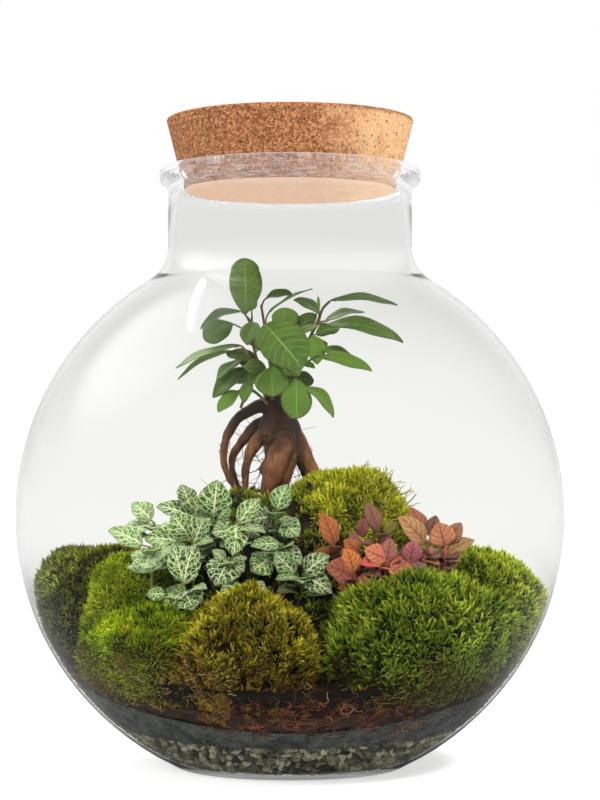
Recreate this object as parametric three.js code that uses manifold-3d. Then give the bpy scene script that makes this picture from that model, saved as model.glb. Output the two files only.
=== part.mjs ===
// A closed glass terrarium: a round bottle jar with a cork, layers of gravel and soil, a hill covered
// with moss cushions, a small ficus on its swollen roots, and two nerve plants, one white and one red.
// Millimetres, +Z up. The origin is the middle of the jar's flat base, and the front of the planting
// faces -Y.

import * as THREE from "three";
import Module from "manifold-3d";
import { mergeVertices } from "three/addons/utils/BufferGeometryUtils.js";
import { LoftGeometry } from "three/addons/geometries/LoftGeometry.js";

const wasm = await Module();
wasm.setup();

// Driving dimensions of the jar
const BOWL_RADIUS = 135;
const BOWL_CENTRE_Z = 124;
const GLASS_WALL = 3;
const BASE_FLAT_RADIUS = 52;
const FLOOR_Z = 6;
const NECK_RADIUS = 60.4;
const NECK_FOOT_Z = 250;
const NECK_TOP_Z = 281;
const RIM_RADIUS = 64.9;
const JAR_HEIGHT = 296;
const JAR_SEGMENTS = 28;

// The cork, which tapers down into the mouth
const CORK_BOTTOM_Z = 285;
const CORK_TOP_Z = 320;
const CORK_BOTTOM_RADIUS = 52.5;
const CORK_TOP_RADIUS = 61.5;
const CORK_EDGE = 1.6;
const CORK_TOUCH_Z = 294.6;

// Layers in the bowl
const GRAVEL_TOP_Z = 16;
const SOIL_FRONT_Z = 26;
const HILL_TOP_Z = 133;
const HILL_X = -6;
const HILL_Y = 12;
const HILL_FLAT_RADIUS = 20;
const HILL_SPREAD = 50;
const HILL_RIGHT_STRETCH = 1.25;

const CUSHION_SQUARENESS = 2.5;
const CUSHION_SWELL = 0.055;
const MAT_CENTRE = [12, -78, 37];
const MAT_HALF_SIZE = [52, 26, 12];
const MAT_SWELL = 0.09;

// Clearances between pieces, and how far a cutting layer reaches past the glass
const GAP = 0.35;
const WALL_CLEARANCE = 1.5;
const BRIM = 3;
const SLIVER = 0.1;

// Leaf blades and stems
const BLADE_THICKNESS = 0.7;
const MIDRIB_RAISE = 0.2;
const TIP_HALF_WIDTH = 0.3;
const FICUS_FOLD = 0.22;
const FITTONIA_FOLD = 0.16;
const FITTONIA_ARCH = 0.08;
const LARGE_LEAF_WIDTH = 9;
const LARGE_LEAF_ROWS = [0, 0.2, 0.5, 0.8, 1];
const SMALL_LEAF_ROWS = [0, 0.22, 0.6, 1];
const SLENDER_OUTLINE = [0.75, 0.8];
const ROUND_OUTLINE = [0.9, 0.5];
const OVAL_OUTLINE = [0.62, 0.62];
const FICUS_OUTLINES = [SLENDER_OUTLINE, ROUND_OUTLINE, OVAL_OUTLINE];
const FITTONIA_OUTLINE = [0.55, 0.6];
const LEAF_SWELL = 1.2;
const TWIG_RADIUS = 0.75;
const TWIG_TAPER = 0.05;
const SQUARE_CORNER = 1.4;
const PETIOLE_HALF_WIDTH = 0.5;
const STEM_RADIUS = 0.9;
const LEAF_STEP = 1.3;
const SHORT_PETIOLE = 4;
const STEM_DEPTH = 6;

const vec = (p) => new THREE.Vector3(...p);
const group = new THREE.Group();

// A closed mesh as a solid, with its doubled vertices merged and its empty triangles dropped.
function solid(geometry) {
  const bare = new THREE.BufferGeometry();
  bare.setAttribute("position", geometry.attributes.position);
  bare.setIndex(geometry.index);
  const merged = mergeVertices(bare, 1e-4);
  const corners = merged.index.array;
  const kept = [];
  for (let i = 0; i < corners.length; i += 3) {
    const [a, b, c] = [corners[i], corners[i + 1], corners[i + 2]];
    if (a !== b && b !== c && c !== a) kept.push(a, b, c);
  }
  return new wasm.Manifold(
    new wasm.Mesh({
      numProp: 3,
      vertProperties: new Float32Array(merged.attributes.position.array),
      triVerts: new Uint32Array(kept),
    }),
  );
}

const join = (solids) => solids.reduce((all, one) => all.add(one));

// The largest body of a solid, with slivers from cutting smoothed away.
function mainBody(made) {
  const bodies = made.simplify(SLIVER).decompose();
  return bodies.reduce((best, body) => (body.volume() > best.volume() ? body : best));
}

function addPart(name, made, [color, roughness]) {
  const { vertProperties, triVerts } = made.getMesh();
  const geometry = new THREE.BufferGeometry();
  geometry.setAttribute("position", new THREE.BufferAttribute(vertProperties, 3));
  geometry.setIndex(new THREE.BufferAttribute(triVerts, 1));
  geometry.computeVertexNormals();
  const material = new THREE.MeshStandardMaterial({ color, roughness, metalness: 0 });
  const mesh = new THREE.Mesh(geometry, material);
  mesh.name = name;
  group.add(mesh);
}

// A tapering tube through the points, with a radius given at each of them.
function tube(points, radii, sides, steps) {
  const curve = new THREE.CatmullRomCurve3(points.map(vec), false, "centripetal");
  const sections = [];
  let side = new THREE.Vector3(0.31, -0.9, 0.3);
  for (let i = 0; i <= steps; i++) {
    const t = i / steps;
    const centre = curve.getPoint(t);
    const along = curve.getTangent(t);
    side = side.clone().addScaledVector(along, -side.dot(along)).normalize();
    const other = along.clone().cross(side);
    const place = Math.min(t * (radii.length - 1), radii.length - 1.001);
    const k = Math.floor(place);
    const radius = THREE.MathUtils.lerp(radii[k], radii[k + 1], place - k);
    const ring = [];
    for (let j = 0; j < sides; j++) {
      const turn = (j / sides) * 2 * Math.PI;
      ring.push(
        centre
          .clone()
          .addScaledVector(side, radius * Math.cos(turn))
          .addScaledVector(other, radius * Math.sin(turn)),
      );
    }
    sections.push(ring);
  }
  return solid(new LoftGeometry(sections, { capStart: true, capEnd: true }));
}

// Leaf outline: how wide the blade is at share u of its length, 1 at the widest.
function outline(u, [rise, fall]) {
  const widest = rise / (rise + fall);
  const most = widest ** rise * (1 - widest) ** fall;
  return (u ** rise * (1 - u) ** fall) / most;
}

// One ring of a leaf: six corners round the centre, with the rib raised in the middle of both faces.
function leafRing(centre, side, up, half, fold, extra) {
  const out = (half + extra) * Math.cos(fold);
  const raise = half * Math.sin(fold);
  const thick = BLADE_THICKNESS / 2 + extra;
  const corners = [
    [-out, raise + thick],
    [0, thick + MIDRIB_RAISE],
    [out, raise + thick],
    [out, raise - thick],
    [0, -thick - MIDRIB_RAISE],
    [-out, raise - thick],
  ];
  return corners.map(([across, above]) =>
    centre.clone().addScaledVector(side, across).addScaledVector(up, above),
  );
}

// A leaf on its petiole: a thin blade with a raised midrib, arched along its length and folded a
// little along the rib. Both faces are split into the same triangles, so that they stay parallel.
function leafSolid(leaf, extra) {
  const joint = vec(leaf.joint);
  const base = vec(leaf.base);
  const along = vec(leaf.tip).sub(base);
  const length = along.length();
  const face = vec(leaf.face);
  face.addScaledVector(along, -face.dot(along) / length ** 2).normalize();
  const side = along.clone().cross(face).normalize();
  const stalk = base.clone().sub(joint).normalize();
  const stalkSide = side.clone().addScaledVector(stalk, -side.dot(stalk)).normalize();
  const stalkUp = stalkSide.clone().cross(stalk);
  const rings = [leafRing(joint, stalkSide, stalkUp, PETIOLE_HALF_WIDTH, 0, extra)];
  const rise = leaf.arch * length * 4;
  const rows = base.distanceTo(joint) < SHORT_PETIOLE ? leaf.rows.slice(1) : leaf.rows;
  for (const u of rows) {
    const centre = base.clone().addScaledVector(along, u).addScaledVector(face, rise * u * (1 - u));
    const tangent = along.clone().addScaledVector(face, rise * (1 - 2 * u));
    const up = side.clone().cross(tangent).normalize();
    const least = u === 0 ? PETIOLE_HALF_WIDTH : TIP_HALF_WIDTH;
    const half = Math.max((leaf.width / 2) * outline(u, leaf.outline), least);
    rings.push(leafRing(centre, side, up, half, u === 0 ? 0 : leaf.fold, extra));
  }
  const index = [];
  const end = (rings.length - 1) * 6;
  for (let i = 0; i < end; i += 6) {
    for (let j = 0; j < 6; j++) {
      const a = i + j;
      const b = i + ((j + 1) % 6);
      const [c, d] = [b + 6, a + 6];
      if (j === 3 || j === 4) index.push(a, b, c, a, c, d);
      else index.push(a, b, d, b, c, d);
    }
  }
  index.push(0, 5, 4, 0, 4, 1, 1, 4, 3, 1, 3, 2);
  index.push(end, end + 1, end + 4, end, end + 4, end + 5);
  index.push(end + 1, end + 2, end + 3, end + 1, end + 3, end + 4);
  const positions = rings.flat().flatMap((p) => p.toArray());
  const geometry = new THREE.BufferGeometry();
  geometry.setAttribute("position", new THREE.Float32BufferAttribute(positions, 3));
  geometry.setIndex(index);
  return solid(geometry);
}

// Slow bumps for earth and moss, between -1 and 1.
function bumps(x, y, z, size) {
  const [a, b, c] = [x / size, y / size, z / size];
  return (
    (Math.sin(a * 5.1 + 1.3 * Math.sin(b * 3.7)) +
      Math.sin(b * 5.7 + 1.7 * Math.sin(c * 4.1 + 1)) +
      Math.sin(c * 5.3 + 1.1 * Math.sin(a * 4.3 + 2))) /
    3
  );
}

// Jar

const corkRadius = (z) =>
  CORK_BOTTOM_RADIUS +
  ((CORK_TOP_RADIUS - CORK_BOTTOM_RADIUS) * (z - CORK_BOTTOM_Z)) / (CORK_TOP_Z - CORK_BOTTOM_Z);

// Points of a bowl arc, from height z0 up to height z1, in equal turns.
function bowlArc(radius, z0, z1, spans) {
  const from = Math.acos((BOWL_CENTRE_Z - z0) / radius);
  const to = Math.acos((BOWL_CENTRE_Z - z1) / radius);
  const points = [];
  for (let i = 0; i <= spans; i++) {
    const turn = THREE.MathUtils.lerp(from, to, i / spans);
    points.push([radius * Math.sin(turn), BOWL_CENTRE_Z - radius * Math.cos(turn)]);
  }
  return points;
}

const INNER_RADIUS = BOWL_RADIUS - GLASS_WALL;
const INNER_SHOULDER_Z = BOWL_CENTRE_Z + Math.sqrt(INNER_RADIUS ** 2 - (NECK_RADIUS - GLASS_WALL) ** 2);

// A turned solid about the upright axis, from a profile of [radius, z] points.
function turned(profile, segments) {
  const points = profile.map(([r, z]) => new THREE.Vector2(r, z));
  const geometry = new THREE.LatheGeometry(points, segments);
  geometry.rotateX(Math.PI / 2);
  return solid(geometry);
}

const innerArc = () => bowlArc(INNER_RADIUS, FLOOR_Z, INNER_SHOULDER_Z, 8);

function jar() {
  const neckInner = NECK_RADIUS - GLASS_WALL;
  const lip = corkRadius(CORK_TOUCH_Z) + GAP;
  const profile = [
    [0, 0],
    [BASE_FLAT_RADIUS, 0],
    ...bowlArc(BOWL_RADIUS, 1.6, 244.4, 10),
    [NECK_RADIUS, NECK_FOOT_Z],
    [NECK_RADIUS, NECK_TOP_Z],
    [RIM_RADIUS - 0.8, 285.2],
    [RIM_RADIUS, 287],
    [RIM_RADIUS - 0.6, 288.6],
    [RIM_RADIUS, 290.4],
    [RIM_RADIUS - 0.5, 293.4],
    [RIM_RADIUS - 4, JAR_HEIGHT],
    [lip + 1.4, JAR_HEIGHT],
    [lip, CORK_TOUCH_Z],
    [lip, 291],
    [neckInner, NECK_TOP_Z],
    [neckInner, NECK_FOOT_Z],
    ...innerArc().reverse(),
    [0, FLOOR_Z],
  ];
  return turned(profile, JAR_SEGMENTS);
}

// The room inside the bowl, a little clear of the glass.
function bowlRoom() {
  const share = 1 - (1.2 * GAP) / INNER_RADIUS;
  const arc = innerArc().map(([r, z]) => [r * share, BOWL_CENTRE_Z + (z - BOWL_CENTRE_Z) * share]);
  const [, low] = arc[0];
  const [, high] = arc[arc.length - 1];
  return turned([[0, low], ...arc, [0, high]], JAR_SEGMENTS);
}

function cork() {
  const profile = [
    [0, CORK_BOTTOM_Z],
    [CORK_BOTTOM_RADIUS, CORK_BOTTOM_Z],
    [corkRadius(CORK_TOP_Z - CORK_EDGE), CORK_TOP_Z - CORK_EDGE],
    [CORK_TOP_RADIUS - CORK_EDGE, CORK_TOP_Z],
    [0, CORK_TOP_Z],
  ];
  return turned(profile, JAR_SEGMENTS);
}

// Layers

const bowlEdge = (z) =>
  Math.sqrt((INNER_RADIUS - WALL_CLEARANCE) ** 2 - (z - BOWL_CENTRE_Z) ** 2);

// A layer that fills the bowl between two surfaces, each a height at x, y. The relief is how far its
// side stands in from the bowl at a turn and a height, and a brim widens the whole side.
function layer(bottom, bottomRings, top, topRings, relief = () => 0, brim = 0) {
  const ringAt = (surface, share) => {
    const ring = [];
    for (let j = 0; j < JAR_SEGMENTS; j++) {
      const turn = (j / JAR_SEGMENTS) * 2 * Math.PI;
      const [cx, cy] = [Math.cos(turn), Math.sin(turn)];
      let reach = 80;
      for (let k = 0; k < 8; k++) reach = bowlEdge(surface(reach * cx, reach * cy));
      const [x, y] = [reach * share * cx, reach * share * cy];
      ring.push(new THREE.Vector3(x, y, surface(x, y)));
    }
    return ring;
  };
  const shares = (rings) => Array.from({ length: rings + 1 }, (_, k) => k / rings);
  const lower = shares(bottomRings).map((share) => ringAt(bottom, share));
  const upper = shares(topRings).map((share) => ringAt(top, share)).reverse();
  if (brim > 0) {
    const wider = (p) => {
      const share = 1 + brim / Math.hypot(p.x, p.y);
      return new THREE.Vector3(p.x * share, p.y * share, p.z);
    };
    return solid(new LoftGeometry([...lower, lower.at(-1).map(wider), upper[0].map(wider), ...upper]));
  }
  const edge = lower[bottomRings].map((from, j) => {
    const z = (from.z + upper[0][j].z) / 2;
    const turn = (j / JAR_SEGMENTS) * 2 * Math.PI;
    const reach = bowlEdge(z) - relief(turn, z);
    return new THREE.Vector3(reach * Math.cos(turn), reach * Math.sin(turn), z);
  });
  return solid(new LoftGeometry([...lower, edge, ...upper]));
}

const gravelTop = (x, y) => GRAVEL_TOP_Z - 0.6 + 0.6 * bumps(x, y, 3, 13);

// The dark soil is thin in front and thicker at the sides and the back.
function soilTop(x, y) {
  const away = Math.hypot(x, y);
  const sideways = away > 0 ? (x / away) ** 2 : 0;
  const backward = away > 0 ? y / away : 0;
  return SOIL_FRONT_Z + (away / 100) * (14 * sideways + 5 + 5 * backward);
}

// Height of the planted hill: a flat top under the ficus, sinking to the wall all round.
function hillTop(x, y) {
  const wall = 40 + (10 * y) / 110 + 8 * (x / 125) ** 2;
  const stretch = x > HILL_X ? HILL_RIGHT_STRETCH : 1;
  const away = Math.hypot((x - HILL_X) / stretch, y - HILL_Y);
  const beyond = Math.max(0, away - HILL_FLAT_RADIUS);
  const share = Math.exp(-((beyond / HILL_SPREAD) ** 2));
  return wall + (HILL_TOP_Z - wall) * share + 0.8 * bumps(x, y, 0, 20);
}

// Moss cushions: [name, x, y, top z, half widths in x, y and z, colour]
const CUSHIONS = [
  ["moss_rear_hummock", 30, 8, 147, 30, 33, 42, 0x8a8f2c],
  ["moss_left_front", -68, -62, 81, 35, 32, 44, 0x5f7d22],
  ["moss_centre_front", -20, -75, 84, 29, 25, 44, 0x7d7a2a],
  ["moss_right_front", 60, -60, 92, 47, 36, 54, 0x4f6e24],
  ["moss_left_bright", -76, -24, 104, 24, 26, 54, 0x8fa531],
  ["moss_right_rear", 88, -10, 106, 42, 44, 62, 0x6f7f2b],
  ["moss_left_rear", -97, 12, 108, 34, 44, 62, 0x4c5624],
  ["moss_back_left", -50, 64, 104, 50, 42, 60, 0x66752a],
  ["moss_back_right", 52, 68, 106, 50, 42, 60, 0x66752a],
];

// A bumpy cushion, a little squarer than an egg.
function cushion([, x, y, top, wide, deep, tall], extra) {
  const geometry = new THREE.SphereGeometry(1, 14, 8);
  geometry.rotateX(Math.PI / 2);
  const at = geometry.attributes.position;
  for (let i = 0; i < at.count; i++) {
    const p = [at.getX(i), at.getY(i), at.getZ(i)];
    const reach = p.reduce((sum, v) => sum + Math.abs(v) ** CUSHION_SQUARENESS, 0);
    const [a, b, c] = p.map((v) => v / reach ** (1 / CUSHION_SQUARENESS));
    const swell = 1 + CUSHION_SWELL * bumps(a * wide + x, b * deep + y, c * tall, 34);
    const across = x + a * (wide * swell + extra);
    const along = y + b * (deep * swell + extra);
    at.setXYZ(i, across, along, top - tall + c * (tall * swell + extra));
  }
  return solid(geometry);
}

// A loose mat of coconut fibre that shows in front, between the soil and the moss.
function fibreMat(extra) {
  const geometry = new THREE.SphereGeometry(1, 18, 6);
  geometry.rotateX(Math.PI / 2);
  const at = geometry.attributes.position;
  const [x, y, z] = MAT_CENTRE;
  const [wide, deep, tall] = MAT_HALF_SIZE;
  for (let i = 0; i < at.count; i++) {
    const [a, b, c] = [at.getX(i), at.getY(i), at.getZ(i)];
    const swell = 1 + MAT_SWELL * bumps(a * wide, b * deep, c * tall, 15);
    const across = x + a * (wide * swell + extra);
    at.setXYZ(i, across, y + b * (deep * swell + extra), z + c * (tall * swell + extra));
  }
  return solid(geometry);
}

// Ficus

// Each root of the ficus: points from the trunk down to the soil, and the radius at each point.
const ROOTS = [
  // trunk, from the crown down to where it splits
  [[[-8.6, 12, 185], [-8.2, 12, 179], [-6.8, 12, 171], [-7.6, 11, 163]], [3.9, 4.6, 8, 9], 8, 3],
  // outer left arch
  [
    [[-10, 12, 178], [-15, 12, 178.6], [-21, 12.5, 176], [-27, 13, 171.5], [-31.4, 13, 164],
      [-33.2, 12, 156.5], [-33, 11, 150], [-30.5, 10.5, 143], [-26.5, 10, 136], [-23.5, 10, 128]],
    [3.4, 3.2, 2.7, 2.4, 2.1, 1.7, 1.5, 1.4, 1.3, 1.2], 5, 9,
  ],
  // second left arch
  [
    [[-11, 14, 171], [-18, 15, 168], [-24, 16, 161], [-28.4, 16, 154], [-29.2, 15.5, 148],
      [-27.6, 15, 141.5], [-25, 14.5, 135.5], [-24, 14, 128]],
    [4, 3, 2.2, 1.7, 1.5, 1.4, 1.3, 1.2], 5, 7,
  ],
  // third left root
  [
    [[-12, 9, 166], [-17.4, 8, 159.5], [-20.8, 7.5, 152.5], [-22.2, 7.5, 146], [-22.2, 7.5, 139],
      [-21, 8, 128]],
    [4, 3.1, 2.3, 1.8, 1.5, 1.4], 5, 6,
  ],
  // thick front root
  [
    [[-4, 10, 168], [-3.2, 7, 161], [-5.4, 5, 153], [-8.6, 3.6, 144], [-11.6, 3, 135], [-13, 3, 125]],
    [6.2, 6.6, 6.2, 5, 3.4, 2.4], 7, 5,
  ],
  // inner front root, beside the thick one
  [
    [[-1.5, 9, 163], [-0.8, 6.6, 154], [-3, 6, 145], [-5.4, 6, 136], [-6, 6, 126]],
    [5.4, 5, 4, 3, 2.2], 6, 4,
  ],
  // thick right root
  [
    [[-2, 12, 170], [3.4, 12, 161], [7.6, 12, 153], [11, 12, 146], [14.4, 12, 138], [16.4, 12, 126]],
    [5.6, 4.8, 3.9, 3.4, 3.1, 2.4], 6, 5,
  ],
  // two rear roots
  [
    [[-7, 15, 168], [-4, 21, 158], [-2.6, 24, 148], [-3.4, 26, 138], [-4, 27, 126]],
    [5.4, 4.2, 3.4, 2.8, 2], 5, 4,
  ],
  [
    [[-4, 14, 166], [4, 19, 156], [8, 22, 147], [10.4, 24, 138], [11, 25, 126]],
    [4.6, 3.8, 3, 2.6, 2], 5, 4,
  ],
  // root that crosses the trunk
  [[[3.2, 10, 167], [-2, 3.4, 165.4], [-7, 2.4, 163.4], [-12, 4.6, 160.4]], [1.6, 1.7, 1.6, 1.3], 5, 4],
  // thin hanging root
  [[[-12, 9, 160], [-11.6, 9, 153], [-13.8, 9, 147.6], [-12, 9, 141]], [1.2, 0.9, 1.3, 0.7], 4, 4],
];

// The crown's holes, one for each leafy shoot, are cut afterwards.
function trunk(extra) {
  return join(
    ROOTS.map(([points, radii, sides, steps]) =>
      tube(points, radii.map((r) => r + extra), sides, steps),
    ),
  );
}

// A leafy shoot of the ficus: its twigs, each a list of points, then its leaves, each written as
// [twig point it grows from, base, tip, width, face direction, arch, rounder outline].
const FICUS_SHOOTS = {
  ficus_shoot_upper_left: {
    twigs: [
      [[-11.3, 13.4, 181], [-14, 14, 194], [-17.6, 14, 205], [-19.4, 14, 215], [-19.2, 14, 222.5]],
    ],
    leaves: [
      [[-19.4, 14, 217], [-22.4, 14, 224], [-23, 17, 250], 16, [0.12, -1, 0.15], 0.03, 1],
      [[-19.2, 14, 222], [-19.4, 12.6, 226], [-18.8, 12, 233.6], 5, [0.3, -1, 0], 0, 0],
      [[-19.2, 14, 220], [-25, 17, 226], [-45, 20, 217], 10, [-0.2, 0.35, 1], 0.13, 0],
      [[-19, 14, 213], [-28.6, 10, 219], [-43, 7, 211], 12.5, [-0.05, -1, 0.35], 0.06, 1],
      [[-18.6, 14, 210], [-17.4, 8, 219.6], [-21.4, 3, 208], 10, [-0.35, -0.9, 0.3], 0.1, 0],
    ],
  },
  ficus_shoot_left: {
    twigs: [
      [[-11.6, 10.6, 181], [-15, 10, 190], [-18.6, 9.4, 199], [-22, 9, 205.6]],
    ],
    leaves: [
      [[-22, 9, 205.4], [-24.6, 7, 208], [-56.7, 0, 196.6], 9, [-0.25, -0.45, 1], 0.06, 0],
      [[-22, 9, 205], [-29.4, 14, 205.6], [-56.4, 17, 191.6], 8.5, [-0.2, 0.2, 1], 0.08, 0],
      [[-20.6, 9, 203], [-24.4, 5, 200.4], [-36.4, 0.5, 190.6], 9, [-0.4, -0.5, 0.8], 0.08, 0],
    ],
  },
  ficus_shoot_top: {
    twigs: [
      [[-8.6, 15.4, 181], [-9.4, 18, 196], [-11.6, 19, 210], [-13.4, 19, 222], [-14.6, 19, 229.4]],
    ],
    leaves: [
      [[-14.4, 19, 228], [-12.4, 20, 232.6], [1.6, 24, 234.6], 8, [-0.1, 0.5, 1], 0.12, 0],
      [[-12.4, 19, 216], [-10.6, 19.4, 225.6], [11.4, 21, 237.8], 9, [-0.5, -0.15, 0.85], 0.05, 0],
      [[-11, 18.8, 207], [-2.2, 17, 215.4], [-3.2, 18, 227.8], 13, [0.05, -1, 0.2], 0.03, 1],
      [[-10.6, 18.6, 205], [2, 18, 215.6], [13.6, 18.6, 224.6], 9, [-0.3, -1, 0.3], 0.04, 0],
    ],
  },
  ficus_shoot_front: {
    twigs: [[[-8.6, 8.6, 181], [-9, 4, 192], [-11, 0, 204], [-12.4, -3, 212]]],
    leaves: [
      [[-12.2, -2.4, 210.6], [-13, -5, 218], [6, -11, 195.6], 23.5, [0.05, -1, 0.55], 0.08, 2],
      [[-9.4, 2.6, 195], [-2.4, 0, 200.4], [4.6, -3, 192.6], 10, [0.2, -0.8, 0.6], 0.08, 0],
    ],
  },
  ficus_shoot_right: {
    twigs: [
      [[-5.9, 13.4, 181], [-1, 15, 192], [5, 16, 204], [10.6, 16, 214], [14.8, 16, 220.4]],
      [[10.6, 16, 214], [14.4, 16, 222], [16.6, 16, 227.4], [20, 16, 231]],
    ],
    leaves: [
      [[19.4, 16, 230.2], [20.6, 16, 231.4], [54, 14, 228.8], 10, [0.05, 0.3, 1], 0.07, 0],
      [[14.8, 16, 220], [18, 18.4, 220.8], [38, 25, 226], 9, [-0.35, -0.5, 0.8], 0.1, 0],
      [[14.6, 16, 219.4], [18, 13, 219], [56.4, 6, 209.4], 12.5, [0.3, -0.75, 0.85], 0.1, 0],
      [[14.6, 16, 220.6], [15, 11.6, 224.4], [1.6, 9, 231], 8, [0.4, -0.7, 0.7], 0.12, 0],
      [[10.4, 16, 213.6], [11.4, 10.6, 213.4], [13.6, 7.4, 198.6], 9.5, [0.2, -1, 0.1], 0.06, 0],
      [[12.4, 16, 217], [13.6, 7, 218], [3.4, 3, 211.8], 6.5, [-0.1, -0.5, 0.9], 0.08, 0],
      [[14.6, 16, 222.6], [14.6, 16.4, 226.4], [14.2, 17.4, 234], 1.6, [0, -1, 0], 0, 0],
    ],
  },
  ficus_shoot_lower_right: {
    twigs: [[[-5.9, 10.6, 181], [-1, 9, 190], [5.4, 8, 197], [11, 7.4, 201.6]]],
    leaves: [
      [[11, 7.4, 201.4], [14.6, 9, 206.4], [34.4, 12, 198.8], 9, [0.2, -0.6, 0.9], 0.1, 0],
      [[11, 7.4, 201.2], [15, 3, 202.4], [40.6, -3, 194.8], 9.5, [0.25, -0.75, 0.75], 0.07, 0],
      [[7, 7.8, 198.4], [6.4, 4, 199.4], [12.4, 0, 196.4], 4, [0, -0.7, 0.7], 0.05, 0],
    ],
  },
  ficus_shoot_lower_left: {
    twigs: [
      [[-11.3, 8.4, 179.6], [-16.6, 6, 184.6], [-20.6, 5, 187]],
      [[-20.6, 5, 187], [-23, 4.6, 181.6], [-24.6, 4.4, 177.4]],
    ],
    leaves: [
      [[-19.4, 5.2, 186.4], [-21.6, 8, 196.6], [-38.4, 5, 182.2], 11, [-0.4, -0.8, 0.5], 0.1, 0],
      [[-20.4, 5, 187], [-25.6, 2.6, 185.6], [-35.8, 0, 175.2], 8, [-0.3, -0.8, 0.5], 0.07, 0],
      [[-19, 5.2, 186.2], [-19.4, 0, 190.4], [-23, -2.4, 179.6], 7, [-0.5, -0.9, 0.2], 0.08, 0],
    ],
  },
  ficus_shoot_lower_front: {
    twigs: [[[-8.6, 11.8, 183.6], [-7.6, 6, 190], [-3, 1, 192.4], [3, -1, 191.6]]],
    leaves: [
      [[-7, 5, 190.8], [-8.6, -3, 197], [-8.4, -7, 182.6], 16, [-0.05, -1, 0.3], 0.06, 1],
      [[-8, 6.4, 190], [-12.6, 0, 194.4], [-20.6, -4, 189], 8, [-0.2, -0.9, 0.4], 0.05, 0],
      [[2.4, -0.8, 191.6], [3, -4.6, 191.4], [3.4, -8, 171.8], 14.5, [0.1, -1, 0.2], 0.05, 1],
      [[3, -1, 191.4], [6.4, -2, 187.4], [21.2, -5, 172.4], 9.5, [0.5, -0.6, 0.65], 0.16, 0],
    ],
  },
};

function ficusShoot({ twigs, leaves }, extra) {
  const solids = twigs.map((points) => {
    const radii = points.map((_, k) => TWIG_RADIUS - TWIG_TAPER * k + extra * SQUARE_CORNER);
    return tube(points, radii, 4, points.length - 1);
  });
  for (const [joint, base, tip, width, face, arch, shape] of leaves) {
    const rows = width < LARGE_LEAF_WIDTH ? SMALL_LEAF_ROWS : LARGE_LEAF_ROWS;
    const leaf = { joint, base, tip, width, face, arch, rows };
    solids.push(leafSolid({ ...leaf, fold: FICUS_FOLD, outline: FICUS_OUTLINES[shape] }, extra));
  }
  return join(solids);
}

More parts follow.
